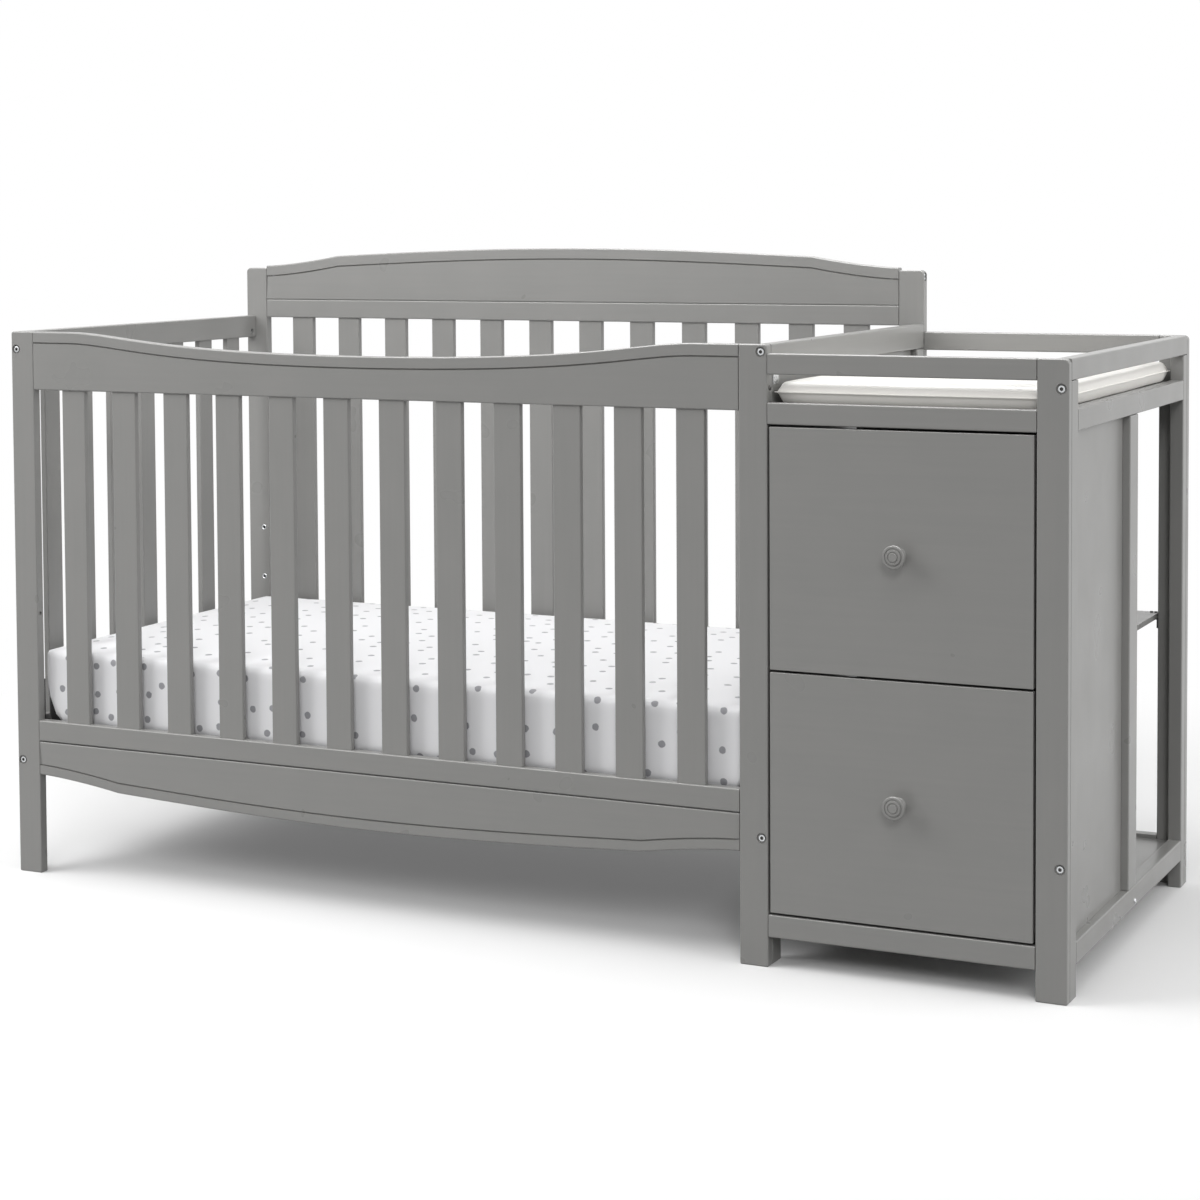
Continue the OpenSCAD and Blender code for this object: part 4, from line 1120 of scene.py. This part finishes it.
coreLo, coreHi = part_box("mattress")
coreFloor = Vector(coreLo) + Vector((0, 0, mattressShape["under"] * mm))
coreTop = coreHi.z - mattressShape["crown"] * mm
coreCuts = [int(v / (mattressShape["step"] * mm))
            for v in (coreHi.x - coreLo.x, coreHi.y - coreLo.y)]


def mattressCore():
    hi = Vector((coreHi.x, coreHi.y, coreTop))
    piece = gridBlock("mattressCore", coreFloor, hi, (*coreCuts, 8))
    mattressSurface(piece, coreFloor, hi)
    finishPiece(piece, mattressKnit, "mattress", smooth=60)
    return piece


core = mattressCore()


def slacken(piece, lo, hi):
    # the cloth at the sides has a little more length than it needs and buckles outwards
    held = piece.vertex_groups.new(name="held")
    loose = piece.vertex_groups.new(name="loose")
    for vert in piece.data.vertices:
        side = lo.z + sheetShape["heldBelow"] * mm < vert.co.z < hi.z - mattressShape["edge"] * mm
        (loose if side else held).add([vert.index], 1, "REPLACE")
    normals = [vert.normal.copy() for vert in piece.data.vertices]
    moves = simulate(piece, sheetShape["cap"] * mm, held="held", shrunk="loose",
                     shrink=(0, -sheetShape["slack"]))
    for vert, normal, move in zip(piece.data.vertices, normals, moves):
        vert.co += normal * max(0, move.dot(normal))
    piece.vertex_groups.clear()


def fittedSheet():
    gap = sheetShape["gap"] * mm
    grow = Vector((gap, gap, gap))
    lo = coreFloor - grow
    hi = Vector((coreHi.x, coreHi.y, coreTop)) + grow
    piece = gridBlock("fittedSheet", lo, hi, (*coreCuts, sheetShape["rows"]))
    startEdit(piece, "FACE")
    pick(piece, "FACE", lambda f: all(v.co.z < lo.z + tiny for v in f.verts))
    bpy.ops.mesh.delete(type="FACE")
    endEdit()
    # the cloth's own pattern runs over the edges without a break
    layer = piece.data.uv_layers.new(name="cloth")
    middle, half = (lo + hi) / 2, (hi - lo) / 2
    height = hi.z - lo.z
    for face in piece.data.polygons:
        out = face.normal
        for index in face.loop_indices:
            place = piece.data.vertices[piece.data.loops[index].vertex_index].co
            flat = Vector((place.x, place.y)) - middle.xy
            near = max(half.x - abs(flat.x), half.y - abs(flat.y))
            down = (hi.z - place.z) / height * clothDown(near, height)
            if abs(out.z) < 0.5:
                flat += Vector((out.x, out.y)) * down
            layer.data[index].uv = flat
    mattressSurface(piece, lo, hi, sheet=True)
    slacken(piece, lo, hi)
    apply(piece, "SOLIDIFY", thickness=sheetShape["thick"] * mm, offset=1)
    piece = finishPiece(piece, sheetCotton, "fitted_sheet", smooth=60)
    return piece


fittedSheet()
print("mattress and sheet made")


# Changing pad

# Two vinyl panels welded together round a foam slab, so the sides run out to a seam at
# half the height and the corners to points.
padShape = {
    "thick": 31, "step": 5, "edge": 2.5, "beak": 7, "beakRun": 25, "shrink": 0.5,    # mm
    "crownRun": 75, "cap": 2.5, "welt": 3.2, "weltIn": 1.5, "weltThick": 1.1,    # mm
    "seamAt": 0.57, "seamRow": 0.1,    # shares of the height
    "pressure": 3, "pucker": 0.025,
}


def padWelt(pad, seamPoints, middle, size):
    # the welded seam: a flat rim round the pad that runs out to a point at each corner
    activate(pad)
    bpy.ops.object.duplicate()
    welt = bpy.context.object
    startEdit(welt, "VERT")
    pick(welt, "VERT", lambda v: not seamPoints(v.co))
    bpy.ops.mesh.delete(type="VERT")
    bpy.ops.mesh.select_all(action="SELECT")
    bpy.ops.mesh.delete(type="ONLY_FACE")
    bpy.ops.mesh.select_all(action="SELECT")
    bpy.ops.mesh.extrude_region_move()
    wide = padShape["welt"] * mm
    bpy.ops.transform.resize(value=(1 + 2 * wide / size.x, 1 + 2 * wide / size.y, 1),
                             center_override=middle)
    endEdit()
    apply(welt, "SOLIDIFY", thickness=padShape["weltThick"] * mm, offset=0)
    return welt


def changingPad():
    lo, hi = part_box("changing_pad")
    out = padShape["welt"] - padShape["weltIn"]
    rim = Vector((out, out, 0)) * mm
    lo, hi = lo + rim, hi - rim
    thick = padShape["thick"] * mm
    top = lo.z + thick
    crown = hi.z - top - 2 * mm
    cuts = [int(v / (padShape["step"] * mm)) for v in (hi.x - lo.x, hi.y - lo.y)] + [3]
    piece = gridBlock("changingPad", lo, Vector((hi.x, hi.y, top)), cuts)
    middle, half = (lo + hi) / 2, (hi - lo) / 2
    seamZ = lo.z + thick * padShape["seamAt"]
    shrink = padShape["shrink"] * mm
    step = (hi.x - lo.x) / (cuts[0] + 1)
    near, beak = padShape["edge"] * mm, padShape["beak"] * mm
    seamRow = piece.vertex_groups.new(name="seam")
    for vert in piece.data.vertices:
        x, y = vert.co.x - middle.x, vert.co.y - middle.y
        ins = [max(half[i] - abs((x, y)[i]), 0) for i in (0, 1)]
        m = min(ins)
        share = (vert.co.z - lo.z) / thick * 2 - 1    # -1 underneath, 1 on top
        if m < tiny and abs(share) < 0.01:
            seamRow.add([vert.index], 1, "REPLACE")
        # the top and bottom start this far inside the seam, more so at the corners
        run = near + (beak - near) * math.exp(-max(ins) / (padShape["beakRun"] * mm))
        ins = [i / step * run if i < step else
               i + (run - step) * max(0, 1 - (i - step) / (4 * step)) for i in ins]
        x, y = math.copysign(half.x - ins[0], x), math.copysign(half.y - ins[1], y)
        rise = min(m / step, 1)
        flat = padShape["seamRow"]
        reach = (hi.z - crown - 2 * mm if share > 0 else lo.z + mm) - seamZ
        z = seamZ + abs(share) * reach * (flat + (1 - flat) * rise)
        if share > 0:
            z += share * crown * math.sin(math.pi / 2 * min(1, m / (padShape["crownRun"] * mm)))
        keep = 1 - shrink / half.x, 1 - shrink / half.y
        vert.co = (middle.x + x * keep[0], middle.y + y * keep[1], z)
    moves = simulate(piece, padShape["cap"] * mm, pressure=padShape["pressure"],
                     shrunk="seam", shrink=(0, padShape["pucker"]))
    for vert, move in zip(piece.data.vertices, moves):
        vert.co = [min(max(vert.co[i] + move[i], lo[i]), hi[i]) for i in range(3)]
    apply(piece, "SUBSURF", levels=1, render_levels=1)
    group = piece.vertex_groups["seam"].index
    onSeam = {tuple(round(c, 7) for c in vert.co) for vert in piece.data.vertices
              if any(g.group == group and g.weight > 0.99 for g in vert.groups)}
    welt = padWelt(piece, lambda co: tuple(round(c, 7) for c in co) in onSeam,
                   Vector((middle.x, middle.y, seamZ)), hi - lo)
    piece = joined("changingPad", [piece, welt])
    piece.vertex_groups.clear()
    finishPiece(piece, padVinyl, "changing_pad", smooth=60)
    return piece


changingPad()
print("pad made")


# Floor, light and background

studio = {
    "world": 0.24, "seenWhite": 1.0,
    "floor": "#f2f2f2", "floorBounce": "#9a9a9a",
    # painted light: a share of white glow mixed into the floor where the camera sees it, lightening
    # its shadow under the crib and falling to none towards the changer
    "lift": (0.13, 0.0), "paintedShadowLiftEnds": (1150, 1430),    # where it ends, in mm from the left
    "clear": (1.2, 2.2),    # metres out
    "top": {"toward": (-0.12, -0.15, 1), "strength": 1.1, "wide": 55},
    "camera": {"toward": (0.4, -0.84, 0.6), "strength": 0.8, "wide": 20},
    "side": {"toward": (0.97, -0.05, 0.35), "strength": 0.8, "wide": 40},
    "right": {"place": (3.2, 0.8, 1.8), "aim": (0.9, 0.2, 0.4), "size": 1.4, "power": 22},
    "front": {"place": (-2.6, -1.9, 2.7), "aim": (-0.3, 0, 0.5), "size": 2.4, "power": 80},
    "over": {"place": (-0.25, -0.3, 1.6), "aim": (-0.25, 0.37, 0.95), "size": 1.5, "power": 3.2,
             "deep": 0.3},
    "sheen": {"place": (0.2, 0.2, 3.6), "aim": (0.2, 0.2, 0), "size": 4.0, "power": 400},
}


def light(name, kind, energy, toward, place=(0, 0, 0), **settings):
    # toward points from what is lit to the light
    lamp = bpy.data.lights.new(name, kind)
    lamp.energy = energy
    for setting, value in settings.items():
        setattr(lamp, setting, value)
    holder = bpy.data.objects.new(name, lamp)
    bpy.context.scene.collection.objects.link(holder)
    holder.location = place
    holder.rotation_euler = Vector(toward).to_track_quat("Z", "Y").to_euler()
    return holder


def sun(name, toward, strength, wide):
    light(name, "SUN", strength, toward, angle=math.radians(wide))


def softbox(name, place, aim, size, power, deep=None):
    holder = light(name, "AREA", power, Vector(place) - Vector(aim), place, shape="RECTANGLE",
                   size=size, size_y=deep or size)
    holder.visible_camera = False
    return holder


def studioFloor():
    # matt white floor that keeps the shadow, with painted light under the crib: a share of white
    # glow lightens the shadow there and fades out towards the changer; further out the floor clears
    # to the white background
    deselectAll()
    bpy.ops.mesh.primitive_grid_add(x_subdivisions=8, y_subdivisions=8, size=60)
    floor = bpy.context.object
    floor.name = "floor"
    material, tree, shader = newMaterial("matt white floor paint", Roughness=0.9,
                                         Specular_IOR_Level=0.1)
    rays = addNode(tree, "ShaderNodeLightPath")
    tree.links.new(blendOf(tree, studio["floor"], studio["floorBounce"],
                           rays.outputs["Is Diffuse Ray"]), shader.inputs["Base Color"])
    place = addNode(tree, "ShaderNodeTexCoord")
    flat = addNode(tree, "ShaderNodeVectorMath", {"operation": "MULTIPLY", 1: (1, 1, 0)},
                   {0: place.outputs["Object"]})
    away = addNode(tree, "ShaderNodeVectorMath", {"operation": "LENGTH"}, {0: flat.outputs[0]})
    along = addNode(tree, "ShaderNodeSeparateXYZ", None, {0: place.outputs["Object"]})
    # painted light: the share of white glow that lightens the floor's shadow, falling from the
    # first value to the second between these two places
    ends = [spot(x, 0, 0).x for x in studio["paintedShadowLiftEnds"]]
    lift = addNode(tree, "ShaderNodeMapRange",
                   {"From Min": ends[0], "From Max": ends[1], "To Min": studio["lift"][0],
                    "To Max": studio["lift"][1]}, {"Value": along.outputs["X"]})
    clear = addNode(tree, "ShaderNodeMapRange",
                    {"interpolation_type": "SMOOTHSTEP", "From Min": studio["clear"][0],
                     "From Max": studio["clear"][1]},
                    {"Value": away.outputs["Value"], "To Min": lift.outputs[0]})
    mirrored = addNode(tree, "ShaderNodeMath", {"operation": "MAXIMUM"},
                       {0: rays.outputs["Is Camera Ray"], 1: rays.outputs["Is Glossy Ray"]})
    seen = addNode(tree, "ShaderNodeMath", {"operation": "MULTIPLY"},
                   {0: clear.outputs[0], 1: mirrored.outputs[0]})
    white = addNode(tree, "ShaderNodeEmission", {"Color": (1, 1, 1, 1), "Strength": 1})
    both = addNode(tree, "ShaderNodeMixShader", None,
                   {0: seen.outputs[0], 1: shader.outputs[0], 2: white.outputs[0]})
    tree.links.new(both.outputs[0], tree.nodes["Material Output"].inputs["Surface"])
    floor.data.materials.append(material)


def whiteWorld():
    # white where it is seen, a plain even light elsewhere
    world = bpy.data.worlds.new("white studio")
    bpy.context.scene.world = world
    world.use_nodes = True
    tree = world.node_tree
    rays = addNode(tree, "ShaderNodeLightPath")
    through = addNode(tree, "ShaderNodeMath", {"operation": "MAXIMUM"},
                      {0: rays.outputs["Is Camera Ray"], 1: rays.outputs["Is Transmission Ray"]})
    seen = addNode(tree, "ShaderNodeMath", {"operation": "MAXIMUM"},
                   {0: through.outputs[0], 1: rays.outputs["Is Glossy Ray"]})
    strength = addNode(tree, "ShaderNodeMapRange",
                       {"To Min": studio["world"], "To Max": studio["seenWhite"]},
                       {"Value": seen.outputs[0]})
    background = tree.nodes["Background"]
    background.inputs["Color"].default_value = (1, 1, 1, 1)
    tree.links.new(strength.outputs[0], background.inputs["Strength"])


studioFloor()
whiteWorld()
sun("top light", **studio["top"])
sun("light beside the camera", **studio["camera"])
sun("side light", **studio["side"])
softbox("right light", **studio["right"])
softbox("front light", **studio["front"])
softbox("overhead light", **studio["over"])
overhead = softbox("overhead sheen", **studio["sheen"])    # shows in gloss alone
overhead.visible_diffuse = False
print("stage set")
